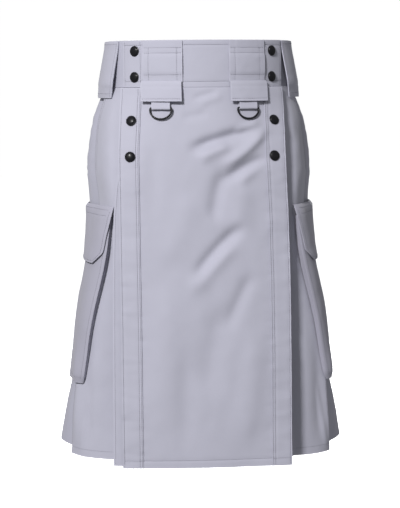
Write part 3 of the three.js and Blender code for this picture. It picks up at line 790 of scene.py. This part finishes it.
class KILT_OT_apron(PieceOperator, bpy.types.Operator):
    """Apron, its plackets and the layer under it"""

    bl_idname = "kilt.apron"
    bl_label = "Apron"

    def execute(self, context):
        hem_line = APRON_HEM - HEM_DEPTH
        downs = levels(CLOTH_TOP, APRON_HEM, 3.6, hem_line, hem_line - 1.4, hem_line + 1.4)

        def columns(down):
            left, right = at(FACE, "left", down), at(FACE, "right", down)
            return np.linspace(-left, right, 84)

        def lift(d, x):
            return 2.2 - 0.4 * dent(d, (hem_line,)) + 0.25 * smooth((d - hem_line) / 2)

        front_piece("apron", downs, columns, lift, CLOTH, rests_on=("apron_band",))
        for side in (-1, 1):
            self.placket(side, downs)
        under_line = APRON_HEM - 1.5 - HEM_DEPTH
        under = levels(CLOTH_TOP, APRON_HEM - 1.5, 4.5, under_line)

        def under_columns(down):
            edge = at(FACE, "edge", down)
            return np.linspace(-edge, min(edge, 112), 60)

        def under_lift(d, x):
            return at(FACE, "under", d) - 0.25 * dent(d, (under_line,))

        front_piece("under_apron", under, under_columns, under_lift, UNDER_WALL)
        return {"FINISHED"}

    def placket(self, side, downs):
        """Stitched strip along one edge of the apron."""
        def columns(down):
            edge = at(FACE, handed(side), down)
            inner = edge - PLACKET_WIDTH
            stops = levels(inner, edge, 2.6, inner + 1.6, inner + 4.8, edge - 2.6)
            return np.sort(side * stops)

        def lift(d, x):
            across = at(FACE, handed(side), d) - np.abs(x)
            return 3.9 - 0.5 * dent(across, PLACKET_ROWS, 1.0)

        front_piece(f"placket_{handed(side)}", downs, columns, lift, UNDER_WALL, rests_on=("apron",))


def tuck(edge):
    """Fold at a length, and the cloth laid back under it."""
    low = -CLOTH / 2 - 2 * FOLD_RADIUS
    turn = arc((edge, -CLOTH / 2 - FOLD_RADIUS), FOLD_RADIUS, 72, -90, 6)
    return turn + [[s, low] for s in np.linspace(edge, edge - PLEAT_LAP, 5)[1:]]


def pleat_line(side, down):
    """Front pleat: from behind the apron out to its fold, then back under itself."""
    start = length_at_x(down, max(112 - max(down - 95, 0) * 0.09, 98))
    fold = fold_length(side, down) - FOLD_RADIUS
    c = -CLOTH / 2
    edge = skirt_row(side, start, down, 0.0)
    behind = front_depth(side * edge[0], down) + at(FACE, "under", down) - UNDER_WALL
    rise = max(float(behind + edge[1]) - 2.4, 0)
    line = [[start + (fold - start) * t, c + rise * (1 - smooth(t / 0.35))] for t in np.linspace(0, 1, 34)]
    return line + tuck(fold)


def panel_line(side, down):
    """Side panel, set back under the front pleat's fold."""
    start = fold_length(side, down) - 11
    end = float(at(PLAN, "join", down))
    recess = at(PLAN, "recess", down) + SEAM
    t = np.linspace(0, 1, 40)
    low = 1 - smooth((t - 0.14) / 0.5)
    return np.stack([start + (end - start) * t, -CLOTH / 2 - recess * low], -1)


def knife_line(down):
    """Knife pleats from the side panel to the box pleat, each folded back and under the one before."""
    start = float(at(PLAN, "join", down)) + SEAM
    end = section_end(down) - float(at(PLAN, "box", down))
    openness = float(at(PLAN, "open", down))
    c = -CLOTH / 2
    r = FOLD_RADIUS
    lap = PLEAT_LAP - 4 + 4 * openness
    low = c - 2 * r - 4 * openness
    line = [[start, c]]
    for i in range(1, PLEATS + 1):
        edge = start + (end - start) * i / PLEATS - r
        first = start + (end - start) * (i - 1) / PLEATS
        begin = c if i == 1 else low - 2 * r
        middle = [(first + edge) / 2 + 3, (begin + c) / 2]
        foot = [first + 4, begin + 0.2]
        for t in np.linspace(0, 1, 5):
            line.append([foot[0] + (middle[0] - first - 4) * t, foot[1] + (middle[1] - begin - 0.2) * t])
        last = [edge, c - 5.4 - openness] if i == PLEATS else [edge, c]
        for t in np.linspace(0, 1, 5)[1:]:
            line.append([middle[0] + (last[0] - middle[0]) * t, middle[1] + (last[1] - middle[1]) * t])
        if i == PLEATS:
            line.append([edge + 9, c - 5.8 - openness])
            break
        line += arc((edge, c - r), r, 65, -90, 5)
        line += [[edge - lap / 2, (c - 2 * r + low) / 2], [edge - lap, low]]
        line += arc((edge - lap, low - r), r, 115, 270, 5)
    return line


def box_line(down):
    """Box pleat in the middle of the back, both edges folded under."""
    end = section_end(down)
    half = float(at(PLAN, "box", down)) - FOLD_RADIUS
    right = [[s, -CLOTH / 2] for s in np.linspace(0, half, 10)] + tuck(half)
    line = [[-s, lift] for s, lift in right[:0:-1]] + right
    return [[end + s, lift] for s, lift in line]


class KILT_OT_skirt(PieceOperator, bpy.types.Operator):
    """Front pleats, side panels and the pleated back"""

    bl_idname = "kilt.skirt"
    bl_label = "Skirt"

    def execute(self, context):
        def drop(down, t):
            share = smooth((down - 560) / (BACK_HEM - 560))
            return share * (SIDE_HEM - 1 - BACK_HEM) * (1 - smooth(np.asarray(t) / 0.6))

        for side in (-1, 1):
            name = handed(side)
            downs = levels(CLOTH_TOP, SIDE_HEM, 5, SIDE_HEM - HEM_DEPTH)
            folded_piece(f"front_pleat_{name}", side, downs, lambda d, s=side: pleat_line(s, d), CLOTH)
            downs = levels(CLOTH_TOP, BACK_HEM, 5, BACK_HEM - HEM_DEPTH)
            # The side panels' twill carries painted shade, darker as they sit back under the front pleats
            folded_piece(f"side_panel_{name}", side, downs, lambda d, s=side: panel_line(s, d), CLOTH, drop,
                         look="twill_recess_shade")
            downs = levels(CLOTH_TOP, BACK_HEM, 6.5, BACK_HEM - HEM_DEPTH)
            folded_piece(f"knife_pleats_{name}", side, downs, knife_line, UNDER_WALL)
        folded_piece("box_pleat", 1, levels(CLOTH_TOP, BACK_HEM, 6.5), box_line, UNDER_WALL)
        return {"FINISHED"}


def pocket_edge(down):
    """Length from the side at which the pocket's front edge stands."""
    return length_at_x(down, float(at(POCKET, "edge", down)), float(at(POCKET, "stand", down)))


def pocket_stand(down, length):
    """Height of the pocket's face over its panel, most at the front edge."""
    t = smooth((length - pocket_edge(down)) / POCKET_FADE)
    stand = at(POCKET, "stand", down)
    return stand + (min(stand, POCKET_SIDE) - stand) * t


def pocket_line(down):
    """Bellows pocket: gusset out, face round to the back, gusset in."""
    edge = pocket_edge(down)
    stand = float(at(POCKET, "stand", down))
    line = [[edge + 1.5, 2.2], [edge + 1.1, (2.2 + stand - 1.2) / 2], [edge + 0.7, stand - 1.2]]
    face = np.linspace(edge + 1.2, POCKET_BACK, 52)
    sag = 0.5 * np.sin(np.clip((face - edge) / (POCKET_BACK - edge), 0, 1) * math.pi)
    line += [[s, pocket_stand(down, s) - 0.7 - dip * 0.6] for s, dip in zip(face, sag)]
    line.append([POCKET_BACK + 0.6, 1.4])
    return line


def flap_levels():
    """Distances down of a flap's rows of points."""
    return levels(240, 323, 2.0, *FLAP_ROWS, 306, 314)


def flap_grid(side, extra):
    """Points of a flap's face, lifted by extra."""
    grid = []
    for down in flap_levels():
        lift = float(at(FLAP, "lift", down))
        edge = length_at_x(down, float(at(FLAP, "edge", down)), lift)
        s = edge + (POCKET_BACK + 3 - edge) * np.linspace(0, 1, 46)
        fall = max(lift - FLAP_SIDE, 0) * smooth((s - pocket_edge(down)) / POCKET_FADE)
        over = lift - fall - 1.1 * (1 - smooth((down - 240) / 5))
        over = over + 0.35 * ripple(s, down, 16, 6.1 + side) * smooth((down - 244) / 20)
        over = over - 0.3 * dent(down, FLAP_ROWS, 1.1)
        grid.append(skirt_row(side, s, down, over + extra))
    return np.array(grid)


class KILT_OT_pockets(PieceOperator, bpy.types.Operator):
    """Bellows pockets and their flaps"""

    bl_idname = "kilt.pockets"
    bl_label = "Pockets"

    def execute(self, context):
        for side in (-1, 1):
            name = handed(side)
            downs = levels(256, 501, 3.2, 488, 493, 497, 499.5)
            # Pockets and flaps use the twill with painted shade, darker as they face sideways
            folded_piece(f"pocket_{name}", side, downs, pocket_line, UNDER_WALL,
                         look="twill_pocket_shade", rests_on=(f"front_pleat_{name}",))
            cloth_piece(f"pocket_flap_{name}", flap_grid(side, 0.0), flap_grid(side, -CLOTH),
                        "twill_pocket_shade", (f"pocket_{name}",), reverse=side > 0)
        return {"FINISHED"}


def loop_grid(side, start, extra):
    """Points of a belt loop's face lifted by extra."""
    end = start + LOOP_WIDTH
    lengths = np.linspace(start, end, 26)
    edge = np.minimum(lengths - start, end - lengths)
    grid = []
    for down in levels(0.6, 83.8, 2.2):
        lift = at(LOOP, "lift", down) - 0.25 * dent(edge, (4.0,), 1.1) + 0.2 * ripple(lengths, down, 11, 9.0)
        grid.append(skirt_row(side, lengths, down, lift * smooth(down / 3 + 0.4) + extra))
    return np.array(grid)


def back_loop_start():
    """Length at which the loop in the middle of the back starts."""
    return section_end(40.0) - LOOP_WIDTH / 2


class KILT_OT_loops(PieceOperator, bpy.types.Operator):
    """Belt loops, and the tabs that carry the rings"""

    bl_idname = "kilt.loops"
    bl_label = "Loops"

    def execute(self, context):
        for side in (-1, 1):
            self.loop(f"side_loop_{handed(side)}", side, SIDES[handed(side)]["loop"])
            self.front_loop(side)
            self.cover(side)
            self.ring_tab(side)
        self.loop("back_loop", 1, back_loop_start())
        return {"FINISHED"}

    def loop(self, node, side, start):
        """Side or back loop."""
        grids = [loop_grid(side, start, extra) for extra in (CLOTH + 0.2, 0.0)]
        cloth_piece(node, *grids, reverse=side > 0)

    def front_loop(self, side):
        """Front loop over the apron's band."""
        name = handed(side)
        inner, outer = SIDES[name]["tab"]
        columns = np.sort(side * levels(inner, outer, 2.2, inner + 8, outer - 8, inner + 9.4, outer - 6.6))

        def lift(d, x):
            a = np.abs(x)
            lines = 0.3 * dent(d, LOOP_ROWS, 1.1) + 0.25 * dent(a, (inner + 8, outer - 8), 1.1)
            return at(TAB, "lift", d) + CLOTH - lines + 0.25 * ripple(x, d, 9, 7.7 + side)

        downs = levels(0.4, 60.5, 2, *LOOP_ROWS)
        front_piece(f"front_loop_{name}", downs, columns, lift, CLOTH, draped=False, rests_on=("apron_band",))

    def cover(self, side):
        """Cover that hangs over the ring's tab."""
        name = handed(side)
        columns = np.sort(side * levels(*SIDES[name]["cover"], 2.2))

        def lift(d, x):
            wave = 0.3 * ripple(x, d, 12, 3.1 + side)
            return at(COVER, "lift", d) + 1.8 + wave - 0.3 * dent(d, (COVER_ROW,), 1.1)

        downs = levels(59, 88.2, 1.8, 62, COVER_ROW)
        front_piece(f"ring_cover_{name}", downs, columns, lift, 1.8, draped=False,
                    rests_on=(f"front_loop_{name}",))

    def ring_tab(self, side):
        """Tab folded round the straight side of the ring."""
        name = handed(side)
        x = side * SIDES[name]["ring"]
        along = ring_frame(side)[1]
        turn = [[RING_DOWN + 2.2 * math.cos(a), RING_LIFT + 2.2 * math.sin(a)]
                for a in np.radians(np.linspace(75, -75, 11))]
        line = resample([[76, 5.5], [88, 6.4], *turn, [88, 3.25], [76, 3.2]], 2)
        widths = np.linspace(-13.8, 13.8, 13)
        grids = []
        for edge in ribbon(line, 1.0):
            middle = front(x, edge[:, 0], edge[:, 1], draped=False)
            grids.append(middle[:, None] + widths[None, :, None] * along)
        cloth_piece(f"ring_tab_{name}", *grids, rests_on=(f"front_loop_{name}",))


def ring_frame(side):
    """A ring's origin at the middle of its bar, the way along the bar, down the cloth and out."""
    x = side * SIDES[handed(side)]["ring"]
    origin = front(x, RING_DOWN, RING_LIFT, draped=False)
    ends = [front(x + reach, RING_DOWN, RING_LIFT, draped=False) for reach in (8, -8)]
    along = ends[0] - ends[1]
    along = unit(along)
    down = front(x, RING_DOWN + 14, RING_LIFT, draped=False) - origin
    down -= along * down.dot(along)
    down = unit(down)
    return origin, along, down, np.cross(along, down)


def lathe(profile, turns):
    """Points and faces of a profile of radius and height turned about its height."""
    angles = np.linspace(0, 2 * math.pi, turns, endpoint=False)
    rings = [[(r * math.cos(a), r * math.sin(a), h) for a in angles] for r, h in profile]
    points = [p for ring in rings for p in ring]
    faces = []
    for i in range(len(profile) - 1):
        for k in range(turns):
            n = (k + 1) % turns
            faces.append((i * turns + k, i * turns + n, (i + 1) * turns + n, (i + 1) * turns + k))
    faces.append(tuple(range(turns))[::-1])
    faces.append(tuple(range((len(profile) - 1) * turns, len(profile) * turns)))
    return np.array(points), faces


class KILT_OT_snaps(PieceOperator, bpy.types.Operator):
    """Eight domed snap caps"""

    bl_idname = "kilt.snaps"
    bl_label = "Snaps"

    def execute(self, context):
        rim = [(0.97, 0), (1, 0.25), (1, 0.8), (0.985, 1.05), (0.95, 1.25), (0.9, 1.36), (0.86, 1.42)]
        dome = [(0.84 * math.cos(a), 1.42 + 2.0 * math.sin(a)) for a in np.radians(np.linspace(4, 88, 12))]
        profile = [(r * SNAP_RADIUS, h) for r, h in rim + dome]
        for side in (-1, 1):
            for number, row in enumerate(SNAPS, 1):
                self.snap(side, row, number, profile)
        return {"FINISHED"}

    def snap(self, side, row, number, profile):
        """One cap, square to the cloth."""
        x = side * row[handed(side)]
        on_band = row["down"] < BAND_HEIGHT

        def spot(dx, dd):
            return front(x + dx, row["down"] + dd, row["base"], draped=not on_band)

        centre = front(x, row["down"], row["base"], draped=False)
        along = spot(4, 0) - spot(-4, 0)
        along = unit(along)
        up = spot(0, -4) - spot(0, 4)
        up -= along * up.dot(along)
        up = unit(up)
        out = np.cross(along, up)
        points, faces = lathe(profile, 48)
        placed = centre + points[:, :1] * along + points[:, 1:2] * up + points[:, 2:] * out
        mesh = new_mesh(f"snap_{handed(side)}_{number}_cap", placed * MM, [tuple(reversed(f)) for f in faces])
        mesh.shade_smooth()
        finish_hard(mesh, f"snap_{handed(side)}_{number}", "snap_lacquer", "kilt")


def finish_hard(mesh, node, look, body):
    """Object of a hard piece that stands for a node."""
    mesh.materials.append(material(look))
    recalculate(mesh)
    obj = add(mesh.name, mesh)
    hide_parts(node)
    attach(obj, body)
    return obj


def recalculate(mesh):
    """Turns a closed mesh's faces out."""
    made = bmesh.new()
    made.from_mesh(mesh)
    bmesh.ops.recalc_face_normals(made, faces=made.faces)
    made.to_mesh(mesh)
    made.free()


class KILT_OT_rings(PieceOperator, bpy.types.Operator):
    """Two D-rings of round wire"""

    bl_idname = "kilt.rings"
    bl_label = "Rings"

    def execute(self, context):
        for side in (-1, 1):
            self.ring(side)
        return {"FINISHED"}

    def ring(self, side):
        """Straight bar closed by a round bow."""
        origin, along, down, out = ring_frame(side)
        half = (RING_WIDTH - RING_WIRE) / 2
        line = [[-half + 2.6, 0], [0, 0], [half - 2.6, 0], [half - 1.4, 0.2], [half - 0.5, 1.0], [half, 2.3]]
        for a in np.radians(np.linspace(8, 172, 32)):
            line.append([half * math.cos(a), 2.8 + (RING_DROP - 2.8) * math.sin(a)])
        line += [[-half, 2.3], [-half + 0.5, 1.0], [-half + 1.4, 0.2]]
        line = np.array(line)
        way = np.roll(line, -1, axis=0) - np.roll(line, 1, axis=0)
        way = unit(way)
        sides = 20
        angles = np.linspace(0, 2 * math.pi, sides, endpoint=False)
        points = []
        for p, w in zip(line, way):
            for a in angles:
                across = math.cos(a) * RING_WIRE / 2
                points.append(origin + along * (p[0] - w[1] * across) + down * (p[1] + w[0] * across)
                              + out * (math.sin(a) * RING_WIRE / 2))
        count = len(line)
        faces = [(i * sides + k, i * sides + (k + 1) % sides, (i + 1) % count * sides + (k + 1) % sides,
                  (i + 1) % count * sides + k) for i in range(count) for k in range(sides)]
        mesh = new_mesh(f"d_ring_{handed(side)}_wire", np.array(points) * MM, faces)
        mesh.shade_smooth()
        finish_hard(mesh, f"d_ring_{handed(side)}", "ring_lacquer", f"ring_{handed(side)}")


class Seams:
    """Rows of stitches gathered into one mesh."""

    def __init__(self, settings):
        self.pitch = settings.stitch_pitch
        self.width = settings.stitch_width
        self.points = []
        self.faces = []

    def sew(self, line, outward):
        """Adds stitches along a line of points; outward are points a little further out."""
        line = np.asarray(line, float)
        steps = np.linalg.norm(np.diff(line, axis=0), axis=1)
        run = np.concatenate([[0], np.cumsum(steps)])
        count = int(run[-1] // self.pitch)
        starts = (np.arange(count) + 0.5) * run[-1] / max(count, 1)
        normals = np.asarray(outward, float) - line

        def along(values, distance):
            return np.array([np.interp(distance, run, column) for column in values.T])

        for s in starts:
            self.stitch(along(line, s), along(line, s + 1) - along(line, s - 1), along(normals, s))

    def stitch(self, centre, along, out):
        """One stitch: a short bowed thread with its ends in the cloth."""
        along = unit(along)
        out = out - along * out.dot(along)
        out = unit(out)
        side = np.cross(along, out)
        first = len(self.points)
        reach = self.pitch * 0.4
        for t, radius, height in ((-1, 0.35, -0.3), (-0.55, 1, 0.1), (0.55, 1, 0.1), (1, 0.35, -0.3)):
            r = radius * self.width / 2
            middle = centre + along * (t * reach) + out * (height * self.width)
            for a, b in ((1, 0), (0, 1), (-1, 0), (0, -1)):
                self.points.append(middle + side * (a * r) + out * (b * r))
        for i in range(3):
            for k in range(4):
                n = (k + 1) % 4
                low = first + i * 4
                self.faces.append((low + k, low + n, low + 4 + n, low + 4 + k))
        self.faces.append((first + 3, first + 2, first + 1, first))
        self.faces.append((first + 12, first + 13, first + 14, first + 15))

    def front(self, x, down, lift, draped=True):
        """Row on the front."""
        self.sew(front(x, down, lift, draped), front(x, down, np.asarray(lift, float) + 1, draped))

    def skirt(self, side, length, down, lift):
        """Row on the skirt."""
        self.sew(skirt(side, length, down, lift), skirt(side, length, down, np.asarray(lift, float) + 1))

    def finish(self, name, body="kilt"):
        """Object of all the rows."""
        mesh = new_mesh(name, np.array(self.points) * MM, self.faces)
        mesh.shade_smooth()
        mesh.materials.append(material("thread"))
        obj = add(name, mesh)
        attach(obj, body)


class KILT_OT_stitching(PieceOperator, bpy.types.Operator):
    """Topstitching on every piece"""

    bl_idname = "kilt.stitching"
    bl_label = "Stitching"

    def execute(self, context):
        settings = context.scene.kilt
        for sew in (self.band, self.apron, self.skirt, self.pockets, self.loops):
            seams = Seams(settings)
            sew(seams)
            seams.finish(f"stitching_{sew.__name__}")
        return {"FINISHED"}

    def band(self, seams):
        """Rows along the bands and down the snap strips."""
        left, right = -BAND_ENDS["left"], BAND_ENDS["right"]
        x = levels(left + 3, right - 3, 3)
        for down in BAND_ROWS:
            seams.front(x, down, 2.25, draped=False)
        d = levels(2, BAND_HEIGHT - 2, 3)
        for spot in (left + 2.6, left + 24, right - 2.6, right - 24):
            seams.front(spot, d, 2.5, draped=False)
        for side in (-1, 1):
            for down in BAND_ROWS:
                points = levels(-30, section_end(down), 3)
                seams.skirt(side, points, down, 0.0)

    def apron(self, seams):
        """Hem, plackets and the edge of the layer under the apron."""
        left, right = at(FACE, "left", APRON_HEM), at(FACE, "right", APRON_HEM)
        x = levels(-left + PLACKET_WIDTH, right - PLACKET_WIDTH, 3)
        seams.front(x, APRON_HEM - HEM_DEPTH, 1.95)
        for side in (-1, 1):
            for inset in PLACKET_ROWS:
                d = levels(70, APRON_HEM - 2, 3)
                seams.front(side * (at(FACE, handed(side), d) - inset), d, 3.7)
            edge = at(FACE, handed(side), APRON_HEM)
            across = side * levels(edge - PLACKET_WIDTH + 1, edge - 2, 3)
            seams.front(across, APRON_HEM - HEM_DEPTH, 3.9)
        d = levels(190, APRON_HEM - 4, 3)
        seams.front(-(at(FACE, "edge", d) - 3), d, at(FACE, "under", d))

    def skirt(self, seams):
        """Hems, and the stitched-down upper part of each pleat."""
        for side in (-1, 1):
            fold = fold_length(side, SIDE_HEM - HEM_DEPTH)
            s = levels(length_at_x(SIDE_HEM, 120), fold - 3, 3)
            seams.skirt(side, s, SIDE_HEM - HEM_DEPTH, 0.0)
            d = levels(70, 190, 3)
            for inset in (3.2, 9.0):
                seams.skirt(side, [fold_length(side, v) - inset for v in d], d, 0.0)
            d = levels(190, SIDE_HEM - 3, 3)
            seams.skirt(side, [fold_length(side, v) - 2.4 for v in d], d, 0.0)
            end = section_end(BACK_HEM)
            join, box = (float(at(PLAN, n, BACK_HEM)) for n in ("join", "box"))
            width = (end - box - join) / PLEATS
            for i in range(PLEATS):
                s = levels(join + width * i + width * 0.45, join + width * (i + 1) - 4, 3)
                drop = -0.9 - (1 - (s - join - width * i) / width) * 4
                seams.skirt(side, s, BACK_HEM - HEM_DEPTH, drop + 0.9)

    def pockets(self, seams):
        """Edges of the pockets, and the edges and top rows of the flaps."""
        for side in (-1, 1):
            d = levels(262, 494, 3)
            s = np.array([pocket_edge(v) + 4.5 for v in d])
            seams.skirt(side, s, d, [float(pocket_stand(v, q)) for v, q in zip(d, s)])
            s = levels(pocket_edge(POCKET_ROW) + 4.5, POCKET_BACK - 4, 3)
            seams.skirt(side, s, POCKET_ROW, pocket_stand(POCKET_ROW, s) - 0.1)
            rows = flap_levels()
            outer, above = flap_grid(side, 0.1), flap_grid(side, 1.1)
            for row in (*(np.argmin(abs(rows - r)) for r in FLAP_ROWS), len(rows) - 3):
                seams.sew(outer[row, 2:-2], above[row, 2:-2])
            seams.sew(outer[4:-2, 1], above[4:-2, 1])

    def loops(self, seams):
        """Edges of the loops, boxes on the front loops and foot rows on the covers."""
        places = [(-1, SIDES["left"]["loop"]), (1, SIDES["right"]["loop"]), (1, back_loop_start())]
        for side, start in places:
            outer = loop_grid(side, start, CLOTH + 0.2)
            above = loop_grid(side, start, CLOTH + 1.2)
            for column in (2, -3):
                seams.sew(outer[1:-1, column], above[1:-1, column])
            for row in (2, -4):
                seams.sew(outer[row, 1:-1], above[row, 1:-1])
        for side in (-1, 1):
            inner, outer = SIDES[handed(side)]["tab"]
            x = side * levels(inner + 1.5, outer - 1.5, 3)
            for down in LOOP_ROWS:
                seams.front(x, down, at(TAB, "lift", down) + CLOTH - 0.2, draped=False)
            d = levels(11, 58, 3)
            for spot in (inner + 8, outer - 8):
                seams.front(side * spot, d, at(TAB, "lift", d) + CLOTH - 0.15, draped=False)
            inner, outer = SIDES[handed(side)]["cover"]
            x = side * levels(inner + 1.5, outer - 1.5, 3)
            seams.front(x, COVER_ROW, at(COVER, "lift", COVER_ROW) + 1.65, draped=False)


class KILT_OT_stage(PieceOperator, bpy.types.Operator):
    """Floor, lights and camera"""

    bl_idname = "kilt.stage"
    bl_label = "Stage"

    def execute(self, context):
        stage = context.scene.kilt_stage
        self.floor(stage)
        self.lights(context.scene, stage)
        self.camera(context.scene, stage)
        return {"FINISHED"}

    def floor(self, stage):
        """Plain pale floor, far below the hem."""
        points, faces = lathe([(0.4, 0), (2, 0), (6, 0), (14, 0)], 64)
        points[:, 2] = (TOP - APRON_HEM) * MM - stage.floor_drop
        mesh = new_mesh("floor", points, faces[:-1])
        g = Graph("floor_paint")
        place = g.node("ShaderNodeTexCoord", output=3)
        tone = g.noise(place, 3.0, 2.0)
        paint = g.mix(tone, [0.93, 0.93, 0.93, 1], [0.95, 0.95, 0.95, 1])
        mesh.materials.append(g.surface(Base_Color=paint, Roughness=0.9, Emission_Color=[1, 1, 1, 1],
                                        Emission_Strength=0.8))
        self.studio_piece("floor", mesh)
        points, faces = lathe([(14, -2), (14, 8), (10, 11), (1, 12)], 48)
        mesh = new_mesh("backdrop", points, faces)
        g = Graph("backdrop_paint")
        mesh.materials.append(g.surface(Base_Color=[0, 0, 0, 1], Roughness=1.0, Emission_Color=[1, 1, 1, 1],
                                        Emission_Strength=1.0))
        self.studio_piece("backdrop", mesh)

    def studio_piece(self, name, mesh):
        """Part of the studio that is seen but sheds no light on the kilt."""
        piece = add(name, mesh)
        piece.visible_diffuse = False
        piece.visible_glossy = False
        piece.visible_shadow = False

    def lights(self, scene, stage):
        """Even white surround, a large soft key from the upper left and a weak fill."""
        world = bpy.data.worlds.new("studio")
        scene.world = world
        world.use_nodes = True
        background = world.node_tree.nodes["Background"]
        background.inputs[0].default_value = (1, 1, 1, 1)
        background.inputs[1].default_value = stage.sky_strength
        self.lamp("key", (-1.65, -3.05, 1.85), stage.key_power, 0.6, (1, 0.985, 0.975))
        self.lamp("back", (0.4, 3.4, 1.7), stage.back_power, 0.9, (1, 1, 1))
        self.lamp("fill", (1.9, -1.6, 0.3), stage.fill_power, 1.6, (0.95, 0.97, 1))
        scene.view_settings.view_transform = "Standard"

    def lamp(self, name, place, power, size, colour):
        """Square area light that faces the kilt."""
        data = bpy.data.lights.new(name, "AREA")
        data.energy = power
        data.size = size
        data.color = colour
        lamp = add(name, data)
        lamp.location = place
        aim = Vector((0, 0, -0.25)) - Vector(place)
        lamp.rotation_euler = aim.to_track_quat("-Z", "Y").to_euler()

    def camera(self, scene, stage):
        """Camera a little to the left of the front, looking slightly down."""
        data = bpy.data.cameras.new("camera")
        data.sensor_width = 36
        data.lens = stage.focal
        data.shift_x = 0.001
        data.clip_start = 0.05
        data.clip_end = 100
        camera = add("camera", data)
        az, el = stage.azimuth, stage.pitch
        look = Vector((-math.sin(az) * math.cos(el), math.cos(az) * math.cos(el), -math.sin(el)))
        right = Vector((math.cos(az), math.sin(az), 0))
        up = right.cross(look)
        turned = Matrix.Rotation(stage.roll, 3, look)
        basis = Matrix((turned @ right, turned @ up, -look)).transposed()
        place = Vector((math.sin(az) * stage.distance, -math.cos(az) * stage.distance, stage.height))
        camera.matrix_world = Matrix.Translation(place) @ basis.to_4x4()
        scene.camera = camera


class KILT_PT_panel(bpy.types.Panel):
    """Kilt settings in the sidebar"""

    bl_idname = "KILT_PT_panel"
    bl_label = "Kilt"
    bl_space_type = "VIEW_3D"
    bl_region_type = "UI"
    bl_category = "Kilt"

    def draw(self, context):
        layout = self.layout
        for settings in (context.scene.kilt, context.scene.kilt_stage):
            box = layout.box()
            for name in settings.__annotations__:
                box.prop(settings, name)
        for operator in OPERATORS:
            layout.operator(operator.bl_idname)


OPERATORS = (
    KILT_OT_waistband,
    KILT_OT_apron,
    KILT_OT_skirt,
    KILT_OT_pockets,
    KILT_OT_loops,
    KILT_OT_snaps,
    KILT_OT_rings,
    KILT_OT_stitching,
    KILT_OT_stage,
)
CLASSES = (KiltSettings, StageSettings, *OPERATORS, KILT_PT_panel)


def register():
    for cls in CLASSES:
        bpy.utils.register_class(cls)
    bpy.types.Scene.kilt = PointerProperty(type=KiltSettings)
    bpy.types.Scene.kilt_stage = PointerProperty(type=StageSettings)


def unregister():
    del bpy.types.Scene.kilt_stage
    del bpy.types.Scene.kilt
    for cls in reversed(CLASSES):
        bpy.utils.unregister_class(cls)


def main():
    register()
    bpy.ops.kilt.waistband()
    bpy.ops.kilt.apron()
    bpy.ops.kilt.skirt()
    bpy.ops.kilt.pockets()
    bpy.ops.kilt.loops()
    bpy.ops.kilt.snaps()
    bpy.ops.kilt.rings()
    bpy.ops.kilt.stitching()
    bpy.ops.kilt.stage()


if __name__ == "__main__":
    main()
